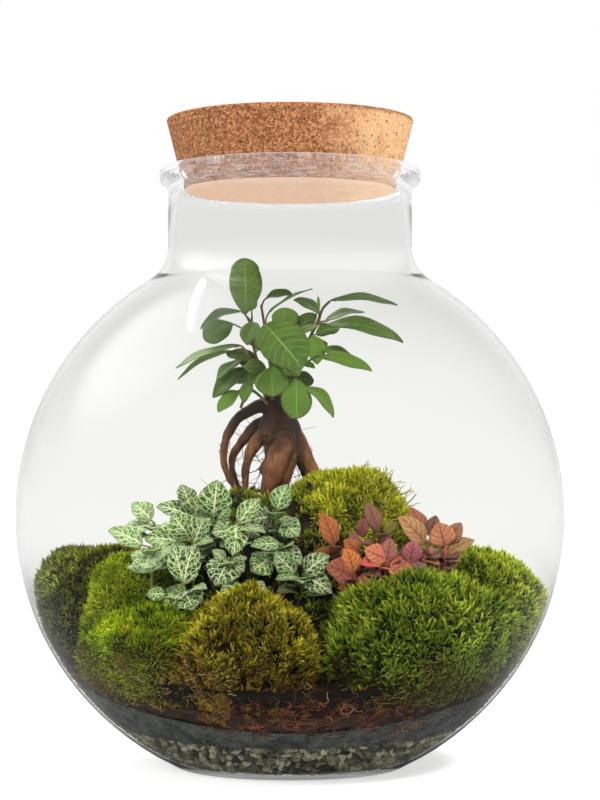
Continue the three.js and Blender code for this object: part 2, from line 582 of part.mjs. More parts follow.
// Nerve plants: each leafy stem stands at foot [x, y] and ends at head [x, y, z]. Its leaves are
// [tip, width, face direction, share of the way from head to tip where the blade starts].
const WHITE_STEMS = [
  {
    foot: [-36, -30],
    head: [-37, -34, 123.6],
    leaves: [
      [[-34.7, -37, 142], 14.5, [0, -1, 0.2], 0.06],
      [[-46.6, -41, 119.6], 8, [0.1, -0.35, 1], 0.2],
      [[-28.4, -37, 129], 7, [0.2, -0.8, 0.5], 0.3],
    ],
  },
  {
    foot: [-47, -26],
    head: [-47, -28, 125.6],
    leaves: [
      [[-52.8, -24, 139.4], 9.5, [0.3, -0.6, 0.75], 0.35],
      [[-64.4, -30, 128.6], 10.5, [0, -0.65, 0.8], 0.16],
      [[-43, -29, 134], 11.5, [0.1, -1, 0.3], 0.1],
    ],
  },
  {
    foot: [-64, -29],
    head: [-65.4, -33, 121.6],
    leaves: [
      [[-76.2, -32, 130.4], 10.5, [0.2, -0.75, 0.65], 0.14],
      [[-79.8, -37, 116.8], 10, [0, -0.55, 0.85], 0.1],
      [[-59, -39, 118.6], 7.5, [0, -0.6, 0.8], 0.2],
    ],
  },
  {
    foot: [-46, -38],
    head: [-46.6, -42, 114],
    leaves: [
      [[-56, -39.6, 125.4], 12.5, [-0.1, -1, 0.2], 0.12],
      [[-69, -47, 113.6], 10, [0, -0.9, 0.5], 0.34],
      [[-36, -47, 112.4], 7.5, [0, -0.5, 0.85], 0.2],
      [[-41, -41, 124], 10, [0.1, -1, 0.2], 0.12],
    ],
  },
  {
    foot: [-65, -45],
    head: [-65.6, -51, 109.6],
    leaves: [
      [[-86, -52, 118.2], 9.5, [0.1, -0.8, 0.6], 0.2],
      [[-69.4, -58, 97.6], 13, [0, -1, 0.35], 0.06],
      [[-57, -56, 108.6], 8.5, [0, -0.95, 0.35], 0.14],
    ],
  },
  {
    foot: [-49.6, -55],
    head: [-50, -61, 93.6],
    leaves: [
      [[-55, -58, 111.6], 9.5, [0.3, -0.95, 0.1], 0.06],
      [[-44.6, -58, 111.8], 11, [-0.2, -1, 0.1], 0.06],
      [[-45, -67.6, 81], 13, [0, -1, 0.45], 0.1],
      [[-57.6, -67, 80.6], 8, [0.1, -0.9, 0.5], 0.3],
      [[-67.4, -60, 88], 6.5, [0.2, -0.9, 0.5], 0.5],
    ],
  },
  {
    foot: [-28.6, -52],
    head: [-29, -57, 105.4],
    leaves: [
      [[-34.8, -63.6, 92.2], 14, [0, -1, 0.35], 0.08],
      [[-21.6, -60, 98.6], 8, [0.2, -0.9, 0.4], 0.1],
      [[-36.6, -59, 108.8], 5.5, [0, -0.8, 0.6], 0.2],
    ],
  },
  {
    foot: [-25, -42],
    head: [-25.6, -47, 121.6],
    leaves: [
      [[-26.8, -55, 106], 10.5, [0, -1, 0.25], 0.05],
      [[-14.2, -45, 133.2], 8.5, [-0.25, -0.9, 0.3], 0.12],
      [[-11.6, -51, 117], 9, [0.1, -0.4, 0.95], 0.12],
      [[-37, -51, 116.6], 8, [0, -0.85, 0.5], 0.3],
    ],
  },
  {
    foot: [-7.6, -31],
    head: [-6.6, -36, 126.4],
    leaves: [
      [[-1.4, -33, 139.8], 9, [-0.2, -1, 0.15], 0.12],
      [[-18.4, -38, 122.6], 9.5, [0.1, -0.95, 0.35], 0.16],
      [[4.4, -41, 115], 10, [0, -0.9, 0.45], 0.28],
    ],
  },
  {
    foot: [-5, -42],
    head: [-4, -47.6, 111.6],
    leaves: [
      [[-18.6, -53, 110.4], 8, [0, -0.75, 0.7], 0.1],
      [[5.4, -52, 101.8], 8.5, [0.2, -0.9, 0.4], 0.1],
      [[-18.6, -53, 98.4], 11.5, [0, -1, 0.2], 0.4],
    ],
  },
  {
    foot: [5.6, -46],
    head: [6.4, -52, 97.4],
    leaves: [
      [[18.4, -52, 106], 10, [-0.1, -0.95, 0.35], 0.06],
      [[19.8, -59, 88.6], 10, [0, -0.9, 0.5], 0.06],
      [[-7, -58, 94.6], 8, [0.1, -0.4, 0.95], 0.1],
      [[-7.6, -53.6, 107.4], 9.5, [0, -1, 0.2], 0.3],
    ],
  },
  {
    foot: [-19, -57],
    head: [-20, -62, 93.4],
    leaves: [
      [[-14.4, -68, 85.4], 11.5, [0, -0.9, 0.6], 0.04],
      [[-33, -66.4, 87.4], 8.5, [0, -0.8, 0.6], 0.16],
    ],
  },
];

const RED_STEMS = [
  {
    foot: [22, -36],
    head: [21.6, -40, 109.6],
    leaves: [
      [[15, -40, 126.4], 8.5, [0.3, -0.95, 0.1], 0.12],
      [[11.8, -44, 106.6], 5.5, [0, -0.6, 0.8], 0.1],
    ],
  },
  {
    foot: [32.4, -42],
    head: [32.6, -46, 107],
    leaves: [
      [[25.4, -48, 113.4], 7, [0.2, -0.9, 0.4], 0.1],
      [[35.6, -43, 124], 5, [-0.2, -0.95, 0.1], 0.5],
      [[29, -45, 117.4], 5, [0.2, -0.9, 0.3], 0.4],
    ],
  },
  {
    foot: [31, -49],
    head: [30.6, -54, 97],
    leaves: [
      [[26.4, -53, 109.4], 8.5, [0, -1, 0.2], 0.12],
      [[16.6, -58, 101.4], 11.5, [0, -0.9, 0.5], 0.06],
      [[37.4, -57, 93.6], 5.5, [0.1, -0.9, 0.5], 0.1],
    ],
  },
  {
    foot: [43, -34],
    head: [42.8, -38.6, 115.6],
    leaves: [
      [[36.4, -38, 131.2], 7, [0.3, -0.95, 0.1], 0.16],
      [[51, -38, 121.4], 4.5, [0, -0.9, 0.5], 0.3],
    ],
  },
  {
    foot: [45.6, -47],
    head: [45.6, -52, 104.4],
    leaves: [
      [[35, -55, 109], 9.5, [0, -0.9, 0.45], 0.06],
      [[33, -58.4, 102], 7, [0, -0.75, 0.7], 0.2],
      [[47.4, -51, 114.4], 7.5, [0, -0.95, 0.3], 0.1],
    ],
  },
  {
    foot: [56.4, -46],
    head: [56.6, -52, 103.4],
    leaves: [
      [[46.8, -60, 97.4], 8, [0, -0.8, 0.6], 0.1],
      [[58.6, -52, 113.4], 8.5, [0, -1, 0.2], 0.1],
      [[64.6, -58, 98.6], 7, [0.1, -0.8, 0.6], 0.2],
    ],
  },
  {
    foot: [66, -34],
    head: [65.6, -40, 110.6],
    leaves: [
      [[51.4, -43, 124.4], 10, [0.3, -0.85, 0.45], 0.1],
      [[58, -35, 128.4], 8.5, [0.3, -0.7, 0.6], 0.4],
      [[70, -37, 125], 6.5, [-0.1, -0.8, 0.5], 0.4],
    ],
  },
  {
    foot: [73.6, -40],
    head: [73.8, -46, 109.4],
    leaves: [
      [[70.4, -47, 121.8], 11, [0, -1, 0.25], 0.1],
      [[81.6, -44, 121.6], 7, [-0.2, -0.9, 0.4], 0.3],
      [[87.6, -47, 113.4], 7.5, [0, -0.75, 0.7], 0.1],
      [[79.8, -53, 105.6], 8, [0, -0.6, 0.8], 0.1],
    ],
  },
];

function nerveStalk({ foot, head }, extra) {
  const [x, y] = foot;
  const low = [x, y, hillTop(x, y) - STEM_DEPTH];
  const bend = [(2 * x + head[0]) / 3, (2 * y + head[1]) / 3, (low[2] + head[2]) / 2];
  const radius = STEM_RADIUS + extra * SQUARE_CORNER;
  return { bend, stalk: tube([low, bend, head], [radius, radius], 4, 2) };
}

function nerveStem({ foot, head, leaves }, extra) {
  const { bend, stalk } = nerveStalk({ foot, head }, extra);
  const solids = [stalk];
  const down = vec(bend).sub(vec(head)).normalize();
  leaves.forEach(([tip, width, face, start], k) => {
    const joint = vec(head).addScaledVector(down, LEAF_STEP * (k + 0.4)).toArray();
    const base = vec(joint).lerp(vec(tip), start).toArray();
    const leaf = { joint, base, tip, width: width * LEAF_SWELL, face, rows: SMALL_LEAF_ROWS };
    const form = { arch: FITTONIA_ARCH, fold: FITTONIA_FOLD, outline: FITTONIA_OUTLINE };
    solids.push(leafSolid({ ...leaf, ...form }, extra));
  });
  return join(solids);
}

// Assembly: pieces that stand in others are made first, and what holds them is cut clear of them.

const standing = [];

function clearOf(made, others) {
  return others.reduce((piece, other) => {
    if (piece.intersect(other).volume() > 0) return piece.subtract(other);
    return piece;
  }, made);
}

function stand(name, made, grown, finish) {
  addPart(name, mainBody(clearOf(made, standing)), finish);
  standing.push(grown);
}

addPart("glass_jar", jar(), [0xe3e6e3, 0.03]);
addPart("cork_stopper", cork(), [0xb98558, 0.85]);

for (const [name, shoot] of Object.entries(FICUS_SHOOTS)) {
  stand(name, ficusShoot(shoot, 0), ficusShoot(shoot, GAP), [0x4f7f35, 0.4]);
}
stand("ficus_trunk", trunk(0), trunk(GAP), [0x6b4028, 0.75]);

WHITE_STEMS.forEach((stem, i) => {
  const name = "white_nerve_stem_" + String(i + 1).padStart(2, "0");
  stand(name, nerveStem(stem, 0), nerveStem(stem, GAP), [0x7fa36b, 0.55]);
});
RED_STEMS.forEach((stem, i) => {
  const name = "red_nerve_stem_" + String(i + 1).padStart(2, "0");
  stand(name, nerveStem(stem, 0), nerveStem(stem, GAP), [0xb5604c, 0.55]);
});

const room = bowlRoom();
const gravelFloor = () => FLOOR_Z + GAP;
const soilFloor = () => GRAVEL_TOP_Z + GAP;
const hillFloor = (x, y) => soilTop(x, y) + 2 * GAP;
const hillSurface = (x, y) => Math.max(hillTop(x, y), hillFloor(x, y) + 4);
const overHill = (x, y) => hillSurface(x, y) + 1.4 * GAP;
const pebbles = (turn, z) => 0.7 + 0.7 * bumps(turn * 60, z, 5, 9);

addPart("gravel_bed", layer(gravelFloor, 1, gravelTop, 3, pebbles), [0x8d8f82, 0.8]);
addPart("dark_soil_layer", layer(soilFloor, 1, soilTop, 1), [0x3d3f3c, 0.9]);

const plain = () => 0;
const soilGrown = layer(soilFloor, 1, hillFloor, 1, plain, BRIM);
const mat = fibreMat(0).intersect(room).subtract(soilGrown);
const matGrown = fibreMat(GAP);
addPart("coconut_fibre_mat", mainBody(mat), [0x6a3f2a, 0.9]);

const hill = layer(hillFloor, 1, hillSurface, 6);
const feet = [...WHITE_STEMS, ...RED_STEMS].map((stem) => nerveStalk(stem, GAP).stalk);
addPart("soil_hill", mainBody(clearOf(hill, [trunk(GAP), ...feet, matGrown])), [0x33261b, 0.95]);

const laid = [layer(hillFloor, 1, overHill, 6, plain, BRIM), soilGrown, matGrown];
for (const row of CUSHIONS) {
  const moss = clearOf(clearOf(cushion(row, 0).intersect(room), laid), standing);
  addPart(row[0], mainBody(moss), [row[7], 0.95]);
  laid.push(cushion(row, GAP));
}

export default group;
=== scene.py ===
import itertools
import math

import bpy
import numpy as np
from mathutils import Matrix, Vector, noise


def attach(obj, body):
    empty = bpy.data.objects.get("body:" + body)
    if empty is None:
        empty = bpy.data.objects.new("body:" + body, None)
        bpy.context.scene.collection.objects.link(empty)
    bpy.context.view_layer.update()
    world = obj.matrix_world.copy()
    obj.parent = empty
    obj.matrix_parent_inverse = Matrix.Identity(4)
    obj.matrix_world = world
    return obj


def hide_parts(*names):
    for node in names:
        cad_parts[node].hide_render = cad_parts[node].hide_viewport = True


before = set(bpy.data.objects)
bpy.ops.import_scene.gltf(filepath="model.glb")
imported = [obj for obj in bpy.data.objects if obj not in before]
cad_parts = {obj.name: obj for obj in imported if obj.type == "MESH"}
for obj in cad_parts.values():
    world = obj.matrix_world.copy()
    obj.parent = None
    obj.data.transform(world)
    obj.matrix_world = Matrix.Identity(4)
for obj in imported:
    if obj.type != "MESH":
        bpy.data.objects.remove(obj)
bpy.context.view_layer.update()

MM = 0.001

# Sizes of the jar and its filling, in millimetres, as in the CAD part
BOWL_RADIUS = 135
BOWL_CENTRE_Z = 124
BOWL_CENTRE = np.array([0, 0, BOWL_CENTRE_Z], float)
GLASS_WALL = 3
NECK_RADIUS = 60.4
RIM_RADIUS = 64.9
JAR_HEIGHT = 296
CORK_BOTTOM_Z = 285
CORK_TOP_Z = 320
CORK_BOTTOM_RADIUS = 52.5
CORK_TOP_RADIUS = 61.5
GRAVEL_TOP_Z = 17.2
SOIL_FRONT_Z = 26
SOIL_SIDE_RISE = 14
SOIL_MIDDLE_RISE = 5
SOIL_REACH = 100
HILL_TOP_Z = 133
HILL_X = -6
HILL_Y = 12
HILL_FLAT_RADIUS = 20
HILL_SPREAD = 50
HILL_RIGHT_STRETCH = 1.25
HILL_EDGE_Z = 40
HILL_BACK_RISE = 10
HILL_BACK_REACH = 110
HILL_SIDE_RISE = 8
HILL_SIDE_REACH = 125
HILL_BUMP_HEIGHT = 0.8
HILL_BUMP_SIZE = 20
CUSHION_SQUARENESS = 2.5
CUSHION_SWELL = 0.055
MAT_CENTRE = (12, -78, 37)
MAT_HALF_SIZE = (52, 26, 12)
LEAF_SWELL = 1.2
STEM_RADIUS = 0.9
STEM_DEPTH = 6
LEAF_STEP = 1.3
LOWER_LEAVES = 8

# The blown wall is thinner low down, and the filling lies against it
THIN_WALL = 0.8
THIN_BELOW_Z = 110
FULL_ABOVE_Z = 180
THIN_FLOOR_Z = 0.9
FILL_RADIUS = 134.0
PRESS_FROM = 132.2
PRESS_TO = 133.9

# The gravel's upper edge rises toward the sides, as in the photograph
GRAVEL_SIDE_RISE = 3.5
GRAVEL_SIDE_REACH = 80

# The moss carpet: its reach, the height from which it grows, the gaps in it seen from the front
# (x, z, radius) and the clearing round the roots (x, y, radius)
CARPET_RADIUS = 128
CARPET_FOOT_Z = 44
CARPET_GAPS = [(12, 52, 16), (32, 88, 7)]
ROOT_CLEARING = (-9, 10, 15)

# Slow and fast lumps of the cushions, as height, size and seed, and how deep a foot sinks into the hill
CUSHION_LUMPS = [(5, 27, 20), (4, 14, 0), (2.8, 6.5, 40)]
CUSHION_SINK = 2.5

# The rear hummock is flattened above a height. Below another it shifts outward on the left, more and more
# over the slope's height and width. On its right stand loose shoots: least x, most x, least y, most y
HUMMOCK_FLAT_Z = 140
HUMMOCK_FLATNESS = 0.45
SLOPE_FROM_Z = 146
SLOPE_HEIGHT = 32
SLOPE_FROM_X = 24
SLOPE_WIDTH = 22
SLOPE_SHIFT = 20
LOOSE_SHOOTS = 90
LOOSE_SHOOT_AREA = (34, 60, -22, 20)

# Rootlets: how many hang from each root, the spans along the root, and the first span that bears them
ROOTLETS = 13
ROOTLET_SPANS = 24
ROOTLETS_FROM = 3

# Lean of stones and crumbs, which lie any way round, how many different shapes each collection of
# shoots or stones holds, and the finest grain of the cork
ANY_WAY = 3.1
SHAPES = 9
CORK_GRAIN = 900.0

# Camera: where the photograph was taken from
CAMERA_DISTANCE = 1.17
CAMERA_HEIGHT = 0.151
CAMERA_LENS = 106.3
CAMERA_PITCH = 91.455
CAMERA_TURN = -0.2426

# Direction of the soft glow that the bowl mirrors at its upper left
GLOW_WAY = (-0.62, 0.25, 0.74)

# Ficus roots, as in the CAD part: spans, then x, y, z and radius from the crown down to the soil
ROOTS = [
 (15, [
  (-8.6, 12, 185, 3.9), (-8.2, 12, 179, 4.6), (-6.8, 12, 171, 8), (-7.6, 11, 163, 9),
 ]),
 (45, [
  (-10, 12, 178, 3.4), (-15, 12, 178.6, 3.2), (-21, 12.5, 176, 2.7), (-27, 13, 171.5, 2.4),
  (-31.4, 13, 164, 2.1), (-33.2, 12, 156.5, 1.7), (-33, 11, 150, 1.5), (-30.5, 10.5, 143, 1.4),
  (-26.5, 10, 136, 1.3), (-23.5, 10, 128, 1.2),
 ]),
 (35, [
  (-11, 14, 171, 4), (-18, 15, 168, 3), (-24, 16, 161, 2.2), (-28.4, 16, 154, 1.7), (-29.2, 15.5, 148, 1.5),
  (-27.6, 15, 141.5, 1.4), (-25, 14.5, 135.5, 1.3), (-24, 14, 128, 1.2),
 ]),
 (30, [
  (-12, 9, 166, 4), (-17.4, 8, 159.5, 3.1), (-20.8, 7.5, 152.5, 2.3), (-22.2, 7.5, 146, 1.8),
  (-22.2, 7.5, 139, 1.5), (-21, 8, 128, 1.4),
 ]),
 (25, [
  (-4, 10, 168, 6.2), (-3.2, 7, 161, 6.6), (-5.4, 5, 153, 6.2), (-8.6, 3.6, 144, 5), (-11.6, 3, 135, 3.4),
  (-13, 3, 125, 2.4),
 ]),
 (20, [
  (-1.5, 9, 163, 5.4), (-0.8, 6.6, 154, 5), (-3, 6, 145, 4), (-5.4, 6, 136, 3), (-6, 6, 126, 2.2),
 ]),
 (25, [
  (-2, 12, 170, 5.6), (3.4, 12, 161, 4.8), (7.6, 12, 153, 3.9), (11, 12, 146, 3.4), (14.4, 12, 138, 3.1),
  (16.4, 12, 126, 2.4),
 ]),
 (20, [
  (-7, 15, 168, 5.4), (-4, 21, 158, 4.2), (-2.6, 24, 148, 3.4), (-3.4, 26, 138, 2.8), (-4, 27, 126, 2),
 ]),
 (20, [
  (-4, 14, 166, 4.6), (4, 19, 156, 3.8), (8, 22, 147, 3), (10.4, 24, 138, 2.6), (11, 25, 126, 2),
 ]),
 (20, [
  (3.2, 10, 167, 1.6), (-2, 3.4, 165.4, 1.7), (-7, 2.4, 163.4, 1.6), (-12, 4.6, 160.4, 1.3),
 ]),
 (20, [
  (-12, 9, 160, 1.2), (-11.6, 9, 153, 0.9), (-13.8, 9, 147.6, 1.3), (-12, 9, 141, 0.7),
 ]),
]

# Ficus shoots: twigs as lists of points, then leaves with joint, base, tip, width, facing, arch and
# outline. The first five lists end with small inner leaves that the CAD part leaves out.
FICUS_SHOOTS = {
 "ficus_shoot_upper_left": ([
  ((-11.3, 13.4, 181), (-14, 14, 194), (-17.6, 14, 205), (-19.4, 14, 215), (-19.2, 14, 222.5)),
 ], [
  ((-19.4, 14, 217), (-22.4, 14, 224), (-23, 17, 250), 16, (0.12, -1, 0.15), 0.03, 1),
  ((-19.2, 14, 222), (-19.4, 12.6, 226), (-18.8, 12, 233.6), 5, (0.3, -1, 0), 0, 0),
  ((-19.2, 14, 220), (-25, 17, 226), (-45, 20, 217), 10, (-0.2, 0.35, 1), 0.13, 0),
  ((-19, 14, 213), (-28.6, 10, 219), (-43, 7, 211), 12.5, (-0.05, -1, 0.35), 0.06, 1),
  ((-18.6, 14, 210), (-17.4, 8, 219.6), (-21.4, 3, 208), 10, (-0.35, -0.9, 0.3), 0.1, 0),
  ((-14, 14, 194), (-16, 15, 197), (-28, 17, 205), 9, (-0.2, -0.8, 0.6), 0.08, 1),
  ((-17.6, 14, 205), (-15, 14, 207), (-8, 12, 214), 8.5, (0.2, -0.9, 0.4), 0.08, 0),
 ]),
 "ficus_shoot_left": ([
  ((-11.6, 10.6, 181), (-15, 10, 190), (-18.6, 9.4, 199), (-22, 9, 205.6)),
 ], [
  ((-22, 9, 205.4), (-24.6, 7, 208), (-56.7, 0, 196.6), 9, (-0.25, -0.45, 1), 0.06, 0),
  ((-22, 9, 205), (-29.4, 14, 205.6), (-56.4, 17, 191.6), 8.5, (-0.2, 0.2, 1), 0.08, 0),
  ((-20.6, 9, 203), (-24.4, 5, 200.4), (-36.4, 0.5, 190.6), 9, (-0.4, -0.5, 0.8), 0.08, 0),
  ((-15, 10, 190), (-17, 11, 191), (-30, 13, 191), 8.5, (-0.2, -0.7, 0.7), 0.1, 0),
  ((-18.6, 9.4, 199), (-20, 11, 201), (-32, 14, 204), 9, (-0.2, -0.6, 0.8), 0.1, 0),
 ]),
 "ficus_shoot_top": ([
  ((-8.6, 15.4, 181), (-9.4, 18, 196), (-11.6, 19, 210), (-13.4, 19, 222), (-14.6, 19, 229.4)),
 ], [
  ((-14.4, 19, 228), (-12.4, 20, 232.6), (1.6, 24, 234.6), 8, (-0.1, 0.5, 1), 0.12, 0),
  ((-12.4, 19, 216), (-10.6, 19.4, 225.6), (11.4, 21, 237.8), 9, (-0.5, -0.15, 0.85), 0.05, 0),
  ((-11, 18.8, 207), (-2.2, 17, 215.4), (-3.2, 18, 227.8), 13, (0.05, -1, 0.2), 0.03, 1),
  ((-10.6, 18.6, 205), (2, 18, 215.6), (13.6, 18.6, 224.6), 9, (-0.3, -1, 0.3), 0.04, 0),
  ((-9, 16, 190), (-6, 16, 192), (6, 16, 197), 9, (0, -0.8, 0.6), 0.1, 0),
  ((-9.4, 18, 193), (-12, 18, 195), (-25, 20, 199), 9, (0, -0.7, 0.7), 0.1, 0),
  ((-8.8, 16, 188), (-10, 15, 190), (-20, 10, 193), 8, (-0.2, -0.8, 0.6), 0.1, 1),
  ((-11, 19, 204), (-13, 20, 206), (-24, 23, 214), 8, (0.2, -0.7, 0.7), 0.08, 0),
  ((-10, 18.4, 199), (-8, 19, 201), (4, 22, 207), 9.5, (0, -0.9, 0.4), 0.08, 1),
 ]),
 "ficus_shoot_front": ([
  ((-8.6, 8.6, 181), (-9, 4, 192), (-11, 0, 204), (-12.4, -3, 212)),
 ], [
  ((-12.2, -2.4, 210.6), (-13, -5, 218), (6, -11, 195.6), 23.5, (0.05, -1, 0.55), 0.08, 2),
  ((-9.4, 2.6, 195), (-2.4, 0, 200.4), (4.6, -3, 192.6), 10, (0.2, -0.8, 0.6), 0.08, 0),
  ((-8.8, 7, 188), (-6, 6, 190), (5, 3, 186), 9, (0, -0.8, 0.6), 0.1, 1),
  ((-9.2, 3, 194), (-12, 2, 196), (-23, 0, 197), 8.5, (-0.2, -0.8, 0.5), 0.1, 0),
 ]),
 "ficus_shoot_right": ([
  ((-5.9, 13.4, 181), (-1, 15, 192), (5, 16, 204), (10.6, 16, 214), (14.8, 16, 220.4)),
  ((10.6, 16, 214), (14.4, 16, 222), (16.6, 16, 227.4), (20, 16, 231)),
 ], [
  ((19.4, 16, 230.2), (20.6, 16, 231.4), (54, 14, 228.8), 10, (0.05, 0.3, 1), 0.07, 0),
  ((14.8, 16, 220), (18, 18.4, 220.8), (38, 25, 226), 9, (-0.35, -0.5, 0.8), 0.1, 0),
  ((14.6, 16, 219.4), (18, 13, 219), (56.4, 6, 209.4), 12.5, (0.3, -0.75, 0.85), 0.1, 0),
  ((14.6, 16, 220.6), (15, 11.6, 224.4), (1.6, 9, 231), 8, (0.4, -0.7, 0.7), 0.12, 0),
  ((10.4, 16, 213.6), (11.4, 10.6, 213.4), (13.6, 7.4, 198.6), 9.5, (0.2, -1, 0.1), 0.06, 0),
  ((12.4, 16, 217), (13.6, 7, 218), (3.4, 3, 211.8), 6.5, (-0.1, -0.5, 0.9), 0.08, 0),
  ((14.6, 16, 222.6), (14.6, 16.4, 226.4), (14.2, 17.4, 234), 1.6, (0, -1, 0), 0, 0),
  ((-3, 14.4, 188.6), (0, 15, 190), (12, 16, 191), 8.5, (0.2, -0.8, 0.5), 0.1, 1),
  ((5, 16, 204), (8, 17, 205), (19, 20, 210), 9, (-0.2, -0.8, 0.5), 0.08, 0),
  ((-1, 15, 192), (-3, 16, 195), (-9, 20, 205), 9, (0, -1, 0.2), 0.06, 1),
  ((10.6, 16, 214), (13, 17, 214), (25, 20, 217), 9, (0, -0.7, 0.7), 0.1, 0),
 ]),
 "ficus_shoot_lower_right": ([
  ((-5.9, 10.6, 181), (-1, 9, 190), (5.4, 8, 197), (11, 7.4, 201.6)),
 ], [
  ((11, 7.4, 201.4), (14.6, 9, 206.4), (34.4, 12, 198.8), 9, (0.2, -0.6, 0.9), 0.1, 0),
  ((11, 7.4, 201.2), (15, 3, 202.4), (40.6, -3, 194.8), 9.5, (0.25, -0.75, 0.75), 0.07, 0),
  ((7, 7.8, 198.4), (6.4, 4, 199.4), (12.4, 0, 196.4), 4, (0, -0.7, 0.7), 0.05, 0),
 ]),
 "ficus_shoot_lower_left": ([
  ((-11.3, 8.4, 179.6), (-16.6, 6, 184.6), (-20.6, 5, 187)),
  ((-20.6, 5, 187), (-23, 4.6, 181.6), (-24.6, 4.4, 177.4)),
 ], [
  ((-19.4, 5.2, 186.4), (-21.6, 8, 196.6), (-38.4, 5, 182.2), 11, (-0.4, -0.8, 0.5), 0.1, 0),
  ((-20.4, 5, 187), (-25.6, 2.6, 185.6), (-35.8, 0, 175.2), 8, (-0.3, -0.8, 0.5), 0.07, 0),
  ((-19, 5.2, 186.2), (-19.4, 0, 190.4), (-23, -2.4, 179.6), 7, (-0.5, -0.9, 0.2), 0.08, 0),
 ]),
 "ficus_shoot_lower_front": ([
  ((-8.6, 11.8, 183.6), (-7.6, 6, 190), (-3, 1, 192.4), (3, -1, 191.6)),
 ], [
  ((-7, 5, 190.8), (-8.6, -3, 197), (-8.4, -7, 182.6), 16, (-0.05, -1, 0.3), 0.06, 1),
  ((-8, 6.4, 190), (-12.6, 0, 194.4), (-20.6, -4, 189), 8, (-0.2, -0.9, 0.4), 0.05, 0),
  ((2.4, -0.8, 191.6), (3, -4.6, 191.4), (3.4, -8, 171.8), 14.5, (0.1, -1, 0.2), 0.05, 1),
  ((3, -1, 191.4), (6.4, -2, 187.4), (21.2, -5, 172.4), 9.5, (0.5, -0.6, 0.65), 0.16, 0),
 ]),
}

# White-veined nerve plant: foot, head, then leaves with tip, width, facing and start of the blade
WHITE_STEMS = [
 ((-36, -30), (-37, -34, 123.6), [
  ((-34.7, -37, 142), 14.5, (0, -1, 0.2), 0.06), ((-46.6, -41, 119.6), 8, (0.1, -0.35, 1), 0.2),
  ((-28.4, -37, 129), 7, (0.2, -0.8, 0.5), 0.3),
 ]),
 ((-47, -26), (-47, -28, 125.6), [
  ((-52.8, -24, 139.4), 9.5, (0.3, -0.6, 0.75), 0.35), ((-64.4, -30, 128.6), 10.5, (0, -0.65, 0.8), 0.16),
  ((-43, -29, 134), 11.5, (0.1, -1, 0.3), 0.1),
 ]),
 ((-64, -29), (-65.4, -33, 121.6), [
  ((-76.2, -32, 130.4), 10.5, (0.2, -0.75, 0.65), 0.14), ((-79.8, -37, 116.8), 10, (0, -0.55, 0.85), 0.1),
  ((-59, -39, 118.6), 7.5, (0, -0.6, 0.8), 0.2),
 ]),
 ((-46, -38), (-46.6, -42, 114), [
  ((-56, -39.6, 125.4), 12.5, (-0.1, -1, 0.2), 0.12), ((-69, -47, 113.6), 10, (0, -0.9, 0.5), 0.34),
  ((-36, -47, 112.4), 7.5, (0, -0.5, 0.85), 0.2), ((-41, -41, 124), 10, (0.1, -1, 0.2), 0.12),
 ]),
 ((-65, -45), (-65.6, -51, 109.6), [
  ((-86, -52, 118.2), 9.5, (0.1, -0.8, 0.6), 0.2), ((-69.4, -58, 97.6), 13, (0, -1, 0.35), 0.06),
  ((-57, -56, 108.6), 8.5, (0, -0.95, 0.35), 0.14),
 ]),
 ((-49.6, -55), (-50, -61, 93.6), [
  ((-55, -58, 111.6), 9.5, (0.3, -0.95, 0.1), 0.06), ((-44.6, -58, 111.8), 11, (-0.2, -1, 0.1), 0.06),
  ((-45, -67.6, 81), 13, (0, -1, 0.45), 0.1), ((-57.6, -67, 80.6), 8, (0.1, -0.9, 0.5), 0.3),
  ((-67.4, -60, 88), 6.5, (0.2, -0.9, 0.5), 0.5),
 ]),
 ((-28.6, -52), (-29, -57, 105.4), [
  ((-34.8, -63.6, 92.2), 14, (0, -1, 0.35), 0.08), ((-21.6, -60, 98.6), 8, (0.2, -0.9, 0.4), 0.1),
  ((-36.6, -59, 108.8), 5.5, (0, -0.8, 0.6), 0.2),
 ]),
 ((-25, -42), (-25.6, -47, 121.6), [
  ((-26.8, -55, 106), 10.5, (0, -1, 0.25), 0.05), ((-14.2, -45, 133.2), 8.5, (-0.25, -0.9, 0.3), 0.12),
  ((-11.6, -51, 117), 9, (0.1, -0.4, 0.95), 0.12), ((-37, -51, 116.6), 8, (0, -0.85, 0.5), 0.3),
 ]),
 ((-7.6, -31), (-6.6, -36, 126.4), [
  ((-1.4, -33, 139.8), 9, (-0.2, -1, 0.15), 0.12), ((-18.4, -38, 122.6), 9.5, (0.1, -0.95, 0.35), 0.16),
  ((4.4, -41, 115), 10, (0, -0.9, 0.45), 0.28),
 ]),
 ((-5, -42), (-4, -47.6, 111.6), [
  ((-18.6, -53, 110.4), 8, (0, -0.75, 0.7), 0.1), ((5.4, -52, 101.8), 8.5, (0.2, -0.9, 0.4), 0.1),
  ((-18.6, -53, 98.4), 11.5, (0, -1, 0.2), 0.4),
 ]),
 ((5.6, -46), (6.4, -52, 97.4), [
  ((18.4, -52, 106), 10, (-0.1, -0.95, 0.35), 0.06), ((19.8, -59, 88.6), 10, (0, -0.9, 0.5), 0.06),
  ((-7, -58, 94.6), 8, (0.1, -0.4, 0.95), 0.1), ((-7.6, -53.6, 107.4), 9.5, (0, -1, 0.2), 0.3),
 ]),
 ((-19, -57), (-20, -62, 93.4), [
  ((-14.4, -68, 85.4), 11.5, (0, -0.9, 0.6), 0.04), ((-33, -66.4, 87.4), 8.5, (0, -0.8, 0.6), 0.16),
 ]),
]

